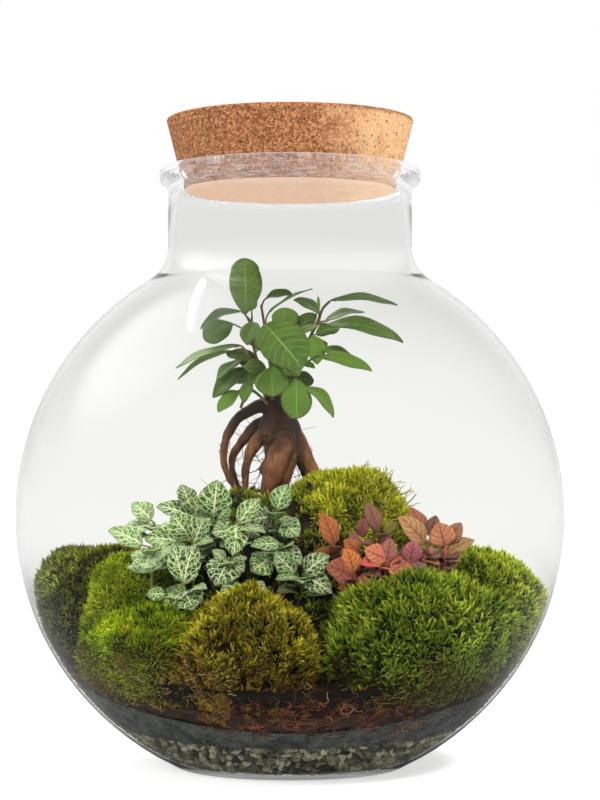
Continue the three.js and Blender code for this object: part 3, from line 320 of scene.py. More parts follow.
# Red-veined nerve plant: foot, head, then leaves with tip, width, facing and start of the blade
RED_STEMS = [
 ((22, -36), (21.6, -40, 109.6), [
  ((15, -40, 126.4), 8.5, (0.3, -0.95, 0.1), 0.12), ((11.8, -44, 106.6), 5.5, (0, -0.6, 0.8), 0.1),
 ]),
 ((32.4, -42), (32.6, -46, 107), [
  ((25.4, -48, 113.4), 7, (0.2, -0.9, 0.4), 0.1), ((35.6, -43, 124), 5, (-0.2, -0.95, 0.1), 0.5),
  ((29, -45, 117.4), 5, (0.2, -0.9, 0.3), 0.4),
 ]),
 ((31, -49), (30.6, -54, 97), [
  ((26.4, -53, 109.4), 8.5, (0, -1, 0.2), 0.12), ((16.6, -58, 101.4), 11.5, (0, -0.9, 0.5), 0.06),
  ((37.4, -57, 93.6), 5.5, (0.1, -0.9, 0.5), 0.1),
 ]),
 ((43, -34), (42.8, -38.6, 115.6), [
  ((36.4, -38, 131.2), 7, (0.3, -0.95, 0.1), 0.16), ((51, -38, 121.4), 4.5, (0, -0.9, 0.5), 0.3),
 ]),
 ((45.6, -47), (45.6, -52, 104.4), [
  ((35, -55, 109), 9.5, (0, -0.9, 0.45), 0.06), ((33, -58.4, 102), 7, (0, -0.75, 0.7), 0.2),
  ((47.4, -51, 114.4), 7.5, (0, -0.95, 0.3), 0.1),
 ]),
 ((56.4, -46), (56.6, -52, 103.4), [
  ((46.8, -60, 97.4), 8, (0, -0.8, 0.6), 0.1), ((58.6, -52, 113.4), 8.5, (0, -1, 0.2), 0.1),
  ((64.6, -58, 98.6), 7, (0.1, -0.8, 0.6), 0.2),
 ]),
 ((66, -34), (65.6, -40, 110.6), [
  ((51.4, -43, 124.4), 10, (0.3, -0.85, 0.45), 0.1), ((58, -35, 128.4), 8.5, (0.3, -0.7, 0.6), 0.4),
  ((70, -37, 125), 6.5, (-0.1, -0.8, 0.5), 0.4),
 ]),
 ((73.6, -40), (73.8, -46, 109.4), [
  ((70.4, -47, 121.8), 11, (0, -1, 0.25), 0.1), ((81.6, -44, 121.6), 7, (-0.2, -0.9, 0.4), 0.3),
  ((87.6, -47, 113.4), 7.5, (0, -0.75, 0.7), 0.1), ((79.8, -53, 105.6), 8, (0, -0.6, 0.8), 0.1),
 ]),
]

# Moss cushions, as in the CAD part: x, y, top z, half widths in x, y and z, then the looks:
# number of shoots, least and most shoot length, dark, mid and bright colours, and share of brown hem
CUSHIONS = {
 "moss_rear_hummock": [30, 8, 147, 30, 33, 42, 3000, 3.0, 6.2, "#262c02", "#8f9410", "#e0da3c", 0.1],
 "moss_left_front": [-68, -62, 81, 35, 32, 44, 4000, 2.8, 5.8, "#1a2402", "#667e08", "#c4d01e", 0.3],
 "moss_centre_front": [-20, -75, 84, 29, 25, 44, 2500, 5.0, 10.0, "#161402", "#766e0e", "#c8bc38", 0.4],
 "moss_right_front": [60, -60, 92, 47, 36, 54, 2100, 4.5, 11.0, "#0e1602", "#586f12", "#b4be3a", 0.12],
 "moss_left_bright": [-76, -24, 104, 24, 26, 54, 2200, 2.8, 5.2, "#2a3604", "#74880f", "#bcc634", 0.1],
 "moss_right_rear": [88, -10, 106, 42, 44, 62, 2800, 3.0, 6.5, "#2a3204", "#7c8e14", "#d0d83c", 0.2],
 "moss_left_rear": [-97, 12, 108, 34, 44, 62, 2500, 2.8, 5.4, "#181c04", "#50580f", "#9ca02c", 0.1],
 "moss_back_left": [-50, 64, 104, 50, 42, 60, 2000, 3.0, 6.5, "#202704", "#62740e", "#b4be2e", 0.2],
 "moss_back_right": [52, 68, 106, 50, 42, 60, 2000, 3.0, 6.5, "#202704", "#62740e", "#b4be2e", 0.2],
}

# Blade colours of the nerve plants: a white stem's leaves lie between two greens, the red plant's have
# a colour each, stem by stem and leaf by leaf
GREENS = [("#0b2003", "#30600c")]
PALE_GREENS = [("#4c6a3c", "#86a070")]
PALE_STEMS = (2, 4)
RED_TONES = [
 ["#a8602c", "#7c4624", "#94583c"],
 ["#b06034", "#643030", "#7a5444"],
 ["#c4743c", "#8c5040", "#b0604a"],
 ["#7c5848", "#74762a", "#b4506a"],
 ["#cc7858", "#c05a4a", "#9c6458"],
 ["#b46456", "#a85c68", "#74585a"],
 ["#b48858", "#9a644a", "#6c5046"],
 ["#bc7c54", "#94684c", "#9a8050", "#6a443a"],
]
FICUS_OUTLINES = [(0.75, 0.85), (0.9, 0.64), (0.62, 0.68)]
NERVE_OUTLINE = (0.62, 0.86)


# Meshes


def tone(code):
    """A colour written as #rrggbb, as the linear values that Blender's sockets take."""
    values = [int(code[i : i + 2], 16) / 255 for i in (1, 3, 5)]
    return (*[v / 12.92 if v <= 0.04045 else ((v + 0.055) / 1.055) ** 2.4 for v in values], 1.0)


def mix_tones(low, high, share):
    return tuple(a * (1 - share) + b * share for a, b in zip(tone(low), tone(high)))


def unit(vectors):
    """A vector, or each row of an array, at length 1."""
    if vectors.ndim == 1:
        return vectors / np.linalg.norm(vectors)
    return vectors / np.linalg.norm(vectors, axis=1)[:, None]


def between(values, share):
    """The value at a share of the way along a list."""
    return np.interp(share * (len(values) - 1), range(len(values)), values)


def circle(around):
    turns = np.arange(around) / around * 2 * math.pi
    return np.cos(turns), np.sin(turns)


def ring(x, y, z):
    return np.stack([x, y, z + 0 * x], -1)


def ball(around, rows):
    """Rings of directions, from the bottom of a ball to its top."""
    x, y = circle(around)
    for k in range(1, rows):
        polar = math.pi * (1 - k / rows)
        yield np.sin(polar) * x, np.sin(polar) * y, np.cos(polar) + 0 * x


def skin(rings):
    """Points and faces of a closed skin through rings of equal count, with a middle point at each end."""
    rings = np.asarray(rings, float)
    count, around, _ = rings.shape
    points = np.vstack([rings.reshape(-1, 3), rings[0].mean(0), rings[-1].mean(0)])
    start, step = np.arange(count - 1)[:, None] * around, np.arange(around)[None]
    a, b = start + step, start + (step + 1) % around
    faces = np.stack([a, b, b + around, a + around], -1).reshape(-1, 4).tolist()
    middle, end = count * around, (count - 1) * around
    for j in range(around):
        k = (j + 1) % around
        faces += [[middle, k, j], [middle + 1, end + j, end + k]]
    return points, faces


def linked(name, data):
    made = bpy.data.objects.new(name, data)
    bpy.context.scene.collection.objects.link(made)
    return made


def mark(mesh, name, values, domain="POINT"):
    made = mesh.attributes.new(name, "FLOAT", domain)
    made.data.foreach_set("value", np.asarray(values, np.float32))


def read(items, key, kind=np.float32):
    """Three values of each item, such as a point's place, as rows."""
    values = np.zeros(len(items) * 3, kind)
    items.foreach_get(key, values)
    return values.reshape(-1, 3)


def coordinates(obj):
    return read(obj.data.vertices, "co").astype(float) / MM


def set_coordinates(obj, points):
    obj.data.vertices.foreach_set("co", (points * MM).astype(np.float32).ravel())
    obj.data.update()


class Build:
    """Gathers the points and faces of one piece, with a leaf's colour, underside and place on the blade."""

    def __init__(self):
        self.points, self.faces, self.finish, self.colour, self.under, self.uv = [], [], [], [], [], []

    def add(self, points, faces, finish=0, colour=(1, 1, 1, 1), under=None, uv=None):
        base = len(self.points)
        self.points.extend(np.asarray(points, float).tolist())
        self.faces.extend([base + i for i in face] for face in faces)
        self.finish.extend([finish] * len(faces))
        self.colour.extend([colour] * len(faces))
        self.under.extend(under or [0.0] * len(faces))
        self.uv.extend(uv or [(0.0, 0.0)] * len(points))

    def object(self, name, materials, marked=False):
        mesh = bpy.data.meshes.new(name)
        mesh.from_pydata((np.array(self.points) * MM).tolist(), [], self.faces)
        for made in materials:
            mesh.materials.append(made)
        mesh.polygons.foreach_set("material_index", self.finish)
        mesh.shade_smooth()
        if marked:
            colour = mesh.attributes.new("leaf_colour", "FLOAT_COLOR", "FACE")
            colour.data.foreach_set("color", np.array(self.colour, np.float32).ravel())
            mark(mesh, "under", self.under, "FACE")
            corners = np.zeros(len(mesh.loops), np.int32)
            mesh.loops.foreach_get("vertex_index", corners)
            places = np.array(self.uv, np.float32)[corners].ravel()
            mesh.uv_layers.new(name="leaf").data.foreach_set("uv", places)
        return linked(name, mesh)


def solid(name, points, faces, finish):
    build = Build()
    build.add(points, faces)
    return build.object(name, [finish])


def applied(obj, name):
    """The object with its modifiers worked in, as a plain mesh object."""
    graph = bpy.context.evaluated_depsgraph_get()
    worked = obj.evaluated_get(graph)
    mesh = bpy.data.meshes.new_from_object(worked, preserve_all_data_layers=True, depsgraph=graph)
    bpy.data.objects.remove(obj)
    return linked(name, mesh)


def pressed(points, limit=PRESS_TO, start=PRESS_FROM):
    """Points held inside the glass: what would stand past the start radius is squeezed under the limit."""
    away = points - BOWL_CENTRE
    reach = np.linalg.norm(away, axis=1)
    beyond = np.maximum(reach - start, 0)
    room = limit - start
    held = np.where(beyond > 0, start + room * (1 - np.exp(-beyond / room)), reach)
    return BOWL_CENTRE + away * (held / np.maximum(reach, 1e-6))[:, None]


def path(points, spans):
    """A centripetal curve through the points, as spans + 1 points and their directions."""
    p = np.array(points, float)
    p = np.vstack([2 * p[0] - p[1], p, 2 * p[-1] - p[-2]])
    count = len(p) - 3
    places, directions = [], []
    for i in range(spans + 1):
        where = min(i / spans * count, count - 1e-9)
        k = int(where)
        t = where - k
        a, b, c, d = p[k : k + 4]
        d0, d1, d2 = (max(np.linalg.norm(v) ** 0.5, 1e-4) for v in (b - a, c - b, d - c))
        m1 = ((b - a) / d0 - (c - a) / (d0 + d1) + (c - b) / d1) * d1
        m2 = ((c - b) / d1 - (d - b) / (d1 + d2) + (d - c) / d2) * d1
        q2, q3 = -3 * b + 3 * c - 2 * m1 - m2, 2 * b - 2 * c + m1 + m2
        places.append(b + m1 * t + q2 * t * t + q3 * t**3)
        slope = m1 + 2 * q2 * t + 3 * q3 * t * t
        directions.append(slope / max(np.linalg.norm(slope), 1e-9))
    return np.array(places), np.array(directions)


def tube(points, radii, sides, spans):
    """The skin of a tapering tube through the points."""
    side = np.array([0.31, -0.9, 0.3])
    x, y = circle(sides)
    rings = []
    for i, (centre, along) in enumerate(zip(*path(points, spans))):
        side = unit(side - along * side.dot(along))
        radius = between(radii, i / spans)
        rings.append(centre + radius * (x[:, None] * side + y[:, None] * np.cross(along, side)))
    return skin(rings)


def bumps(x, y, z, size):
    """The CAD part's slow bumps for earth and moss, between -1 and 1."""
    a, b, c = x / size, y / size, z / size
    return (
        np.sin(a * 5.1 + 1.3 * np.sin(b * 3.7))
        + np.sin(b * 5.7 + 1.7 * np.sin(c * 4.1 + 1))
        + np.sin(c * 5.3 + 1.1 * np.sin(a * 4.3 + 2))
    ) / 3


def rough(points, size, seed):
    """Noise between about -1 and 1 at each point, for features of the given size."""
    shift = Vector((seed * 7.3, seed * 3.1, seed * 5.7))
    return np.array([noise.noise(Vector(p) / size + shift) for p in points])


# Shader nodes


class Tree:
    """A node tree, with short ways to add nodes. A value is plain or another node's output."""

    def __init__(self, tree):
        self.tree = tree

    def feed(self, socket, value):
        if isinstance(value, bpy.types.NodeSocket):
            self.tree.links.new(value, socket)
        else:
            socket.default_value = value

    def put(self, kind, inputs=None, **settings):
        node = self.tree.nodes.new(kind)
        for key, value in settings.items():
            setattr(node, key, value)
        for key, value in (inputs or {}).items():
            self.feed(node.inputs[key], value)
        return node

    def made(self, kind, inputs=None, **settings):
        return self.put(kind, inputs, **settings).outputs[0]

    def maths(self, operation, a, b=0.0):
        return self.made("ShaderNodeMath", {0: a, 1: b}, operation=operation)

    def times(self, a, b, plus=0.0):
        return self.made("ShaderNodeMath", {0: a, 1: b, 2: plus}, operation="MULTIPLY_ADD")

    def vector(self, operation, inputs):
        return self.put("ShaderNodeVectorMath", inputs, operation=operation).outputs

    def parts(self, vector):
        return self.put("ShaderNodeSeparateXYZ", {0: vector}).outputs

    def shares(self, colour):
        return self.put("ShaderNodeSeparateColor", {0: colour}).outputs

    def mixed(self, share, a, b):
        return self.put("ShaderNodeMix", {0: share, 6: a, 7: b}, data_type="RGBA").outputs[2]

    def ramp(self, value, low, high, to_low=0.0, to_high=1.0):
        inputs = {"Value": value, "From Min": low, "From Max": high, "To Min": to_low, "To Max": to_high}
        return self.made("ShaderNodeMapRange", inputs, interpolation_type="SMOOTHSTEP")

    def noise(self, place, scale, detail=2.0, output="Fac"):
        inputs = {"Vector": place, "Scale": scale, "Detail": detail}
        return self.put("ShaderNodeTexNoise", inputs).outputs[output]

    def cells(self, place, scale, feature="F1"):
        return self.put("ShaderNodeTexVoronoi", {"Vector": place, "Scale": scale}, feature=feature).outputs

    def use(self, group, inputs):
        return self.put("ShaderNodeGroup", inputs, node_tree=group).outputs


class Look(Tree):
    """A material with a Principled shader."""

    def __init__(self, name, roughness, specular=0.15):
        self.material = bpy.data.materials.new(name)
        self.material.use_nodes = True
        super().__init__(self.material.node_tree)
        self.tree.nodes.clear()
        inputs = {"Roughness": roughness, "Specular IOR Level": specular}
        self.shader = self.put("ShaderNodeBsdfPrincipled", inputs)
        self.end = self.put("ShaderNodeOutputMaterial", {0: self.shader.outputs[0]}).inputs[0]
        self.place = self.put("ShaderNodeTexCoord").outputs["Object"]

    def shade(self, values):
        for key, value in values.items():
            self.feed(self.shader.inputs[key], value)

    def stored(self, name, output="Fac"):
        return self.put("ShaderNodeAttribute", attribute_name=name).outputs[output]

    def bump(self, height, distance, strength):
        inputs = {"Height": height, "Distance": distance, "Strength": strength}
        self.shade({"Normal": self.made("ShaderNodeBump", inputs)})

    def mottle(self, scale, low, high, speck, share):
        return self.use(MOTTLE, {"Vector": self.place, "Scale": scale, "Low": tone(low), "High": tone(high),
                                 "Speck": tone(speck), "Speck Share": share})

    def end_mix(self, share, first, second):
        self.feed(self.end, self.made("ShaderNodeMixShader", {0: share, 1: first, 2: second}))


def new_group(name, kind, inputs, outputs):
    """A node group with named sockets: its tree, what it is given and what it gives."""
    group = bpy.data.node_groups.new(name, kind)
    for way, sockets in (("INPUT", inputs), ("OUTPUT", outputs)):
        for label, socket in sockets.items():
            group.interface.new_socket(label, in_out=way, socket_type="NodeSocket" + socket)
    given, out = group.nodes.new("NodeGroupInput"), group.nodes.new("NodeGroupOutput")
    return Tree(group), given.outputs, out.inputs


def make_mottle():
    """Two tones in soft patches with finer specks over them, and a height for the bump."""
    inputs = {"Vector": "Vector", "Scale": "Float", "Low": "Color", "High": "Color", "Speck": "Color",
              "Speck Share": "Float"}
    t, given, out = new_group("mottle", "ShaderNodeTree", inputs, {"Color": "Color", "Height": "Float"})
    broad = t.noise(given["Vector"], given["Scale"], 4.0)
    fine = t.noise(given["Vector"], t.times(given["Scale"], 7.0), 3.0)
    body = t.mixed(t.ramp(broad, 0.32, 0.68), given["Low"], given["High"])
    specks = t.times(t.ramp(fine, 0.52, 0.66), given["Speck Share"])
    t.feed(out["Color"], t.mixed(specks, body, given["Speck"]))
    t.feed(out["Height"], t.times(fine, 0.5, broad))
    return t.tree


def make_veins():
    """Masks of a leaf's midrib, side veins and fine net, from the leaf's own UV map."""
    inputs = {"UV": "Vector", "Pairs": "Float", "Lean": "Float", "Rib Width": "Float", "Vein Width": "Float",
              "Net Scale": "Float", "Net Width": "Float"}
    outputs = {"Rib": "Float", "Side": "Float", "Net": "Float"}
    t, given, out = new_group("leaf_veins", "ShaderNodeTree", inputs, outputs)

    def line(name, distance, width, fade):
        t.feed(out[name], t.ramp(distance, width, t.times(width, fade), 1.0, 0.0))

    parts = t.parts(given["UV"])
    across = t.maths("ABSOLUTE", t.times(parts[1], 2.0, -1.0))
    line("Rib", across, given["Rib Width"], 1.7)
    lean = t.times(given["Lean"], -1.0)
    bent = t.times(t.noise(given["UV"], 6.0), 0.06, t.times(t.maths("POWER", across, 1.3), lean, parts[0]))
    line("Side", t.maths("PINGPONG", t.times(bent, given["Pairs"]), 0.5), given["Vein Width"], 1.8)
    shaped = t.vector("MULTIPLY", {0: given["UV"], 1: (1.0, 0.75, 1.0)})[0]
    line("Net", t.cells(shaped, given["Net Scale"], "DISTANCE_TO_EDGE")["Distance"], given["Net Width"], 2.0)
    return t.tree


MOTTLE, VEINS = make_mottle(), make_veins()


def clear_glass():
    """Clear glass with a faint grey body. Light for the planting passes straight through it. A streaky white
    glow on the rim bead and the top lip is a painted highlight.
    """
    look = Look("clear_glass", 0.0, 0.5)
    height = look.parts(look.place)[2]
    bead = look.ramp(height, 0.280, 0.287)
    look.shade({"IOR": 1.15, "Transmission Weight": 1.0,
                "Base Color": look.mixed(bead, (0.872, 0.876, 0.86, 1), (1, 1, 1, 1))})
    # Painted highlight: a streaky white glow on the rim bead and a brighter band on the top lip, mixed in as
    # emission
    flat = look.made("ShaderNodeMapping", {"Vector": look.place, "Scale": (1.0, 1.0, 8.0)})
    painted_rim_glow = look.times(bead, look.ramp(look.noise(flat, 130.0, 4.0), 0.4, 0.8, 0.06, 0.4))
    painted_rim_glow = look.maths("MAXIMUM", painted_rim_glow, look.ramp(height, 0.2945, 0.2957, 0.0, 0.5))
    white = look.made("ShaderNodeEmission", {"Color": (0.9, 0.9, 0.92, 1), "Strength": 0.9})
    body = look.made("ShaderNodeMixShader", {0: painted_rim_glow, 1: look.shader.outputs[0], 2: white})
    light = look.put("ShaderNodeLightPath").outputs
    passing = look.maths("MAXIMUM", light["Is Shadow Ray"], light["Is Diffuse Ray"])
    look.end_mix(passing, body, look.made("ShaderNodeBsdfTransparent", {"Color": (0.95, 0.955, 0.95, 1)}))
    return look.material


def cork_finish():
    """Pressed cork: fine granules with small dark flecks, lighter underneath, and lighter on the right by
    painted light.
    """
    look = Look("pressed_cork", 0.85)
    place = look.parts(look.place)
    warp = look.noise(look.place, CORK_GRAIN, output="Color")
    bent = look.vector("ADD", {0: look.place, 1: look.vector("SCALE", {0: warp, "Scale": 0.0011})[0]})[0]
    grain = look.shares(look.cells(bent, CORK_GRAIN)["Color"])
    edges = look.cells(bent, CORK_GRAIN, "DISTANCE_TO_EDGE")["Distance"]
    seam = look.maths("SUBTRACT", 1.0, look.ramp(edges, 0.0, 0.1))
    body = look.mixed(grain[0], tone("#6a3e24"), tone("#b27c55"))
    body = look.mixed(seam, body, tone("#4c2c19"))
    # Painted light: below the top, the right side is made lighter, as if lit from the right
    shifted = look.times(look.noise(look.place, 60.0, 4.0), 0.05, place[0])
    below_top = look.ramp(place[2], 0.3195, 0.317)
    light = look.times(look.times(look.ramp(shifted, 0.036, 0.075), 0.5), below_top)
    under = look.ramp(place[2], 0.2856, 0.2852)
    body = look.mixed(light, body, tone("#ecc08e"))
    body = look.mixed(look.times(under, 0.58), body, tone("#f0ccb4"))
    flecks = look.cells(look.place, 560.0)
    size = look.times(look.ramp(look.shares(flecks["Color"])[0], 0.3, 1.0), 0.42)
    fleck = look.maths("LESS_THAN", flecks["Distance"], size)
    share = look.times(fleck, look.times(under, -0.4, 0.6))
    look.shade({"Base Color": look.mixed(share, body, tone("#5a3420"))})
    look.bump(look.times(fleck, -1.5, look.maths("SUBTRACT", grain[1], seam)), 0.0003, 0.6)
    return look.material


def stone_finish():
    look = Look("drainage_stones", 0.75)
    tint = look.stored("tint")
    grain = look.mottle(260.0, "#3a382b", "#7c7860", "#2a2b27", 0.5)
    pale = look.mixed(look.ramp(tint, 0.6, 1.1), grain["Color"], tone("#9a9780"))
    look.shade({"Base Color": look.mixed(look.ramp(tint, 0.4, 0.05), pale, tone("#3c3d35"))})
    look.bump(grain["Height"], 0.0004, 0.7)
    return look.material


def mottled(name, roughness, scale, low, high, speck, share, relief, strength):
    """Rough stuff in two tones with specks."""
    look = Look(name, roughness)
    grain = look.mottle(scale, low, high, speck, share)
    look.shade({"Base Color": grain["Color"]})
    look.bump(grain["Height"], relief, strength)
    return look.material


def earth_finish(name, low, high, speck, share):
    return mottled(name, 0.9, 170.0, low, high, speck, share, 0.0012, 0.9)


def strand_finish(name, low, high):
    return mottled(name, 0.7, 120.0, low, high, high, 0.3, 0.0002, 0.5)


# Partly painted shade: the near-black tone among the moss's own dark and mid colours stands for the shade
# between the shoots
def moss_ground_and_shade(name, dark, mid):
    return mottled(name, 0.95, 220.0, "#0b0d05", dark, mid, 0.2, 0.0012, 1.0)


def bark_finish():
    """Smooth brown bark with long soft stripes, with painted shade that darkens the crown, the grooves and
    the gaps between close roots, and pale specks as painted highlights.
    """
    look = Look("ficus_bark", 0.5, 0.35)
    long = look.made("ShaderNodeMapping", {"Vector": look.place, "Scale": (1.0, 1.0, 0.3)})
    ridges = look.noise(long, 420.0, 5.0)
    # Painted highlight: the pale specks stand in for small glints on the bark
    grain = look.mottle(75.0, "#3a1e10", "#82542e", "#a07a50", 0.3)
    height = look.parts(look.place)[2]
    warm = look.mixed(look.times(look.ramp(height, 0.150, 0.132), 0.4), grain["Color"], tone("#5a2a1a"))
    # Painted shade: the crown, the grooves between the ridges and the gaps between close roots are darkened
    # toward near-black
    crown = look.times(look.ramp(height, 0.156, 0.172), 0.9)
    deep = look.maths("MAXIMUM", look.ramp(ridges, 0.5, 0.34, 0.0, 0.45), crown)
    deep = look.maths("MAXIMUM", deep, look.stored("hollow"))
    look.shade({"Base Color": look.mixed(deep, warm, tone("#170b06")),
                "Roughness": look.times(ridges, 0.3, 0.32)})
    look.bump(look.maths("ADD", grain["Height"], ridges), 0.0004, 0.6)
    return look.material


def leaf_finish(name, veins, vein_colour, strengths, under_colour, roughness, coat, own_share=0.0):
    """A leaf: its own colour, veins from its UV map, a paler underside and a slight quilting."""
    look = Look(name, roughness, 0.22)
    masks = look.use(VEINS, {"UV": look.made("ShaderNodeUVMap", uv_map="leaf"), **veins})
    own, under = look.stored("leaf_colour", "Color"), look.stored("under")
    patch = look.ramp(look.noise(look.place, 160.0, 3.0), 0.35, 0.7, 0.0, 0.35)
    line = 0.0
    for key, strength in zip(("Rib", "Side", "Net"), strengths):
        line = look.maths("MAXIMUM", line, look.times(masks[key], strength))
    faint = look.times(line, look.times(under, -0.65, 1.0))
    shaded = look.mixed(patch, own, tone(under_colour))
    below = look.mixed(look.times(under, 0.6), shaded, tone(under_colour))
    vein = look.mixed(own_share, tone(vein_colour), own)
    look.shade({"Base Color": look.mixed(faint, below, vein), "Coat Weight": coat, "Coat Roughness": 0.35,
                "Subsurface Weight": 0.06, "Subsurface Scale": 0.002})
    look.bump(look.times(line, -1.0), 0.0002, 0.8)
    return look.material


def moss_finish(name, dark, mid, bright, hem):
    """Moss shoots: dark at the foot and bright at the tips, in patches, with a brown hem below. Painted shade
    darkens the lower shoots, and the very foot toward near-black.
    """
    look = Look(name, 0.8, 0.08)
    height = look.parts(look.place)[2]
    patch = look.noise(look.place, 55.0, 3.0)
    lift = look.times(look.stored("tint"), 0.7, look.times(patch, 1.3, -1.0))
    lit = look.maths("ADD", look.maths("POWER", look.stored("tip"), 1.3), lift)
    # Painted shade: shoots low in the jar are darkened
    share = look.maths("SUBTRACT", lit, look.ramp(height, 0.09, 0.045, 0.0, 0.45))
    green = look.mixed(look.ramp(share, 0.0, 0.55), tone(dark), tone(mid))
    green = look.mixed(look.ramp(share, 0.55, 1.15), green, tone(bright))
    low = look.ramp(look.times(patch, 0.05, height), 0.098, 0.062)
    spot = look.ramp(look.noise(look.place, 90.0), 0.5, 0.7)
    edged = look.mixed(look.times(look.maths("MAXIMUM", low, spot), hem), green, tone("#8a6426"))
    # Painted shade: the very foot of the moss is darkened toward near-black brown
    under = look.ramp(height, 0.054, 0.046, 0.0, 0.6 - hem)
    look.shade({"Base Color": look.mixed(under, edged, tone("#1c1408"))})
    return look.material


# Growing small things on a surface, and strands along paths


def make_growth():
    """Shapes of a collection grown on a surface, leaning and turned at random, over the bare ground."""
    t, given, out = new_group("growth", "GeometryNodeTree", {
        "Surface": "Geometry", "Shapes": "Collection", "Density": "Float", "Least Size": "Float",
        "Most Size": "Float", "Upright": "Float", "Lean": "Float", "Seed": "Int", "Finish": "Material"},
        {"Result": "Geometry"})

    def chance(low, high, shift):
        inputs = {2: low, 3: high, "Seed": t.maths("ADD", given["Seed"], float(shift))}
        return t.put("FunctionNodeRandomValue", inputs, data_type="FLOAT").outputs[1]

    cover = t.made("GeometryNodeInputNamedAttribute", {"Name": "cover"}, data_type="FLOAT")
    spots = t.put("GeometryNodeDistributePointsOnFaces", {
        "Mesh": given["Surface"], "Density": t.times(given["Density"], cover), "Seed": given["Seed"]}).outputs
    lift = t.made("ShaderNodeCombineXYZ", {2: given["Upright"]})
    upward = t.vector("ADD", {0: spots["Normal"], 1: lift})[0]
    stand = t.made("FunctionNodeAlignRotationToVector", {"Vector": upward}, axis="Z")
    shapes = t.made("GeometryNodeCollectionInfo", {
        "Collection": given["Shapes"], "Separate Children": True, "Reset Children": True})
    back = t.times(given["Lean"], -1.0)
    angles = t.made("ShaderNodeCombineXYZ", {
        0: chance(back, given["Lean"], 1), 1: chance(back, given["Lean"], 2), 2: chance(0.0, 2 * math.pi, 3)})
    turn = t.made("FunctionNodeEulerToRotation", {0: angles})
    seed = t.maths("ADD", given["Seed"], 4.0)
    pick = t.put("FunctionNodeRandomValue", {4: 0, 5: SHAPES, "Seed": seed}, data_type="INT").outputs[2]
    grown = t.made("GeometryNodeInstanceOnPoints", {
        "Points": spots["Points"], "Instance": shapes, "Pick Instance": True, "Instance Index": pick,
        "Rotation": t.made("FunctionNodeRotateRotation", {0: stand, 1: turn}, rotation_space="LOCAL"),
        "Scale": chance(given["Least Size"], given["Most Size"], 5)})
    tint = {"Geometry": grown, "Name": "tint", "Value": chance(0.0, 1.0, 6)}
    tinted = t.made("GeometryNodeStoreNamedAttribute", tint, data_type="FLOAT", domain="INSTANCE")
    real = t.made("GeometryNodeRealizeInstances", {"Geometry": tinted})
    finished = t.made("GeometryNodeSetMaterial", {"Geometry": real, "Material": given["Finish"]})
    joined = t.put("GeometryNodeJoinGeometry")
    t.feed(joined.inputs[0], finished)
    t.feed(joined.inputs[0], given["Surface"])
    t.feed(out["Result"], joined.outputs[0])
    return t.tree


def make_strands():
    """Round strands along curves, as thick as each curve point says."""
    t, given, out = new_group("strands", "GeometryNodeTree", {
        "Paths": "Geometry", "Sides": "Int", "Finish": "Material"}, {"Result": "Geometry"})
    profile = t.made("GeometryNodeCurvePrimitiveCircle", {"Resolution": given["Sides"], "Radius": 1.0})
    radius = t.made("GeometryNodeInputRadius")
    swept = t.made("GeometryNodeCurveToMesh", {
        "Curve": given["Paths"], "Profile Curve": profile, "Scale": radius, "Fill Caps": True})
    smooth = t.made("GeometryNodeSetShadeSmooth", {"Geometry": swept})
    real = t.made("GeometryNodeRealizeInstances", {"Geometry": smooth})
    t.feed(out["Result"], t.made("GeometryNodeSetMaterial", {"Geometry": real, "Material": given["Finish"]}))
    return t.tree


GROWTH, STRANDS = make_growth(), make_strands()


def made_by(obj, tree, values, name):
    """The object's mesh as the tree makes it, as a plain mesh object."""
    modifier = obj.modifiers.new("made_by", "NODES")
    modifier.node_group = tree
    for item in tree.interface.items_tree:
        if item.in_out == "INPUT" and item.name in values:
            modifier[item.identifier] = values[item.name]
    return applied(obj, name)


def collection_of(name, shapes):
    """Shapes to be repeated, kept in a collection of their own outside the scene."""
    kept = bpy.data.collections.new(name)
    for k, (points, faces, tips) in enumerate(shapes):
        mesh = bpy.data.meshes.new(f"{name}_{k}")
        mesh.from_pydata(np.asarray(points, float).tolist(), [], faces)
        if tips:
            mark(mesh, "tip", tips)
        kept.objects.link(bpy.data.objects.new(f"{name}_{k}", mesh))
    return kept


def shoot_shapes(whorls, width, seed):
    """Moss shoots of unit length with whorls of small pointed leaves: leaf count, height, lean and length."""
    draw = np.random.RandomState(seed)
    shapes = []
    for _ in range(SHAPES):
        points, faces, tips = [], [], []
        for leaves, start, lean, long in whorls:
            first = draw.uniform(0, 2 * math.pi)
            for k in range(leaves):
                turn = first + (k + draw.uniform(-0.3, 0.3)) / leaves * 2 * math.pi
                tilt = lean * draw.uniform(0.75, 1.25)
                reach = long * draw.uniform(0.8, 1.15)
                out = np.array([math.cos(turn), math.sin(turn), 0])
                side = np.array([-math.sin(turn), math.cos(turn), 0])
                way = out * math.sin(tilt) + np.array([0, 0, math.cos(tilt)])
                foot, base = np.array([0, 0, start]), len(points)
                middle = foot + (way * reach * 0.4 + np.cross(side, way) * width * 0.6)
                points += [foot, middle - side * width, middle + side * width, foot + way * reach]
                faces += [[base + i for i in face] for face in ((0, 2, 1), (0, 1, 3), (1, 2, 3), (2, 0, 3))]
                tips += [start * 0.5, 0.45, 0.45, 1.0]
        shapes.append((points, faces, tips))
    return shapes


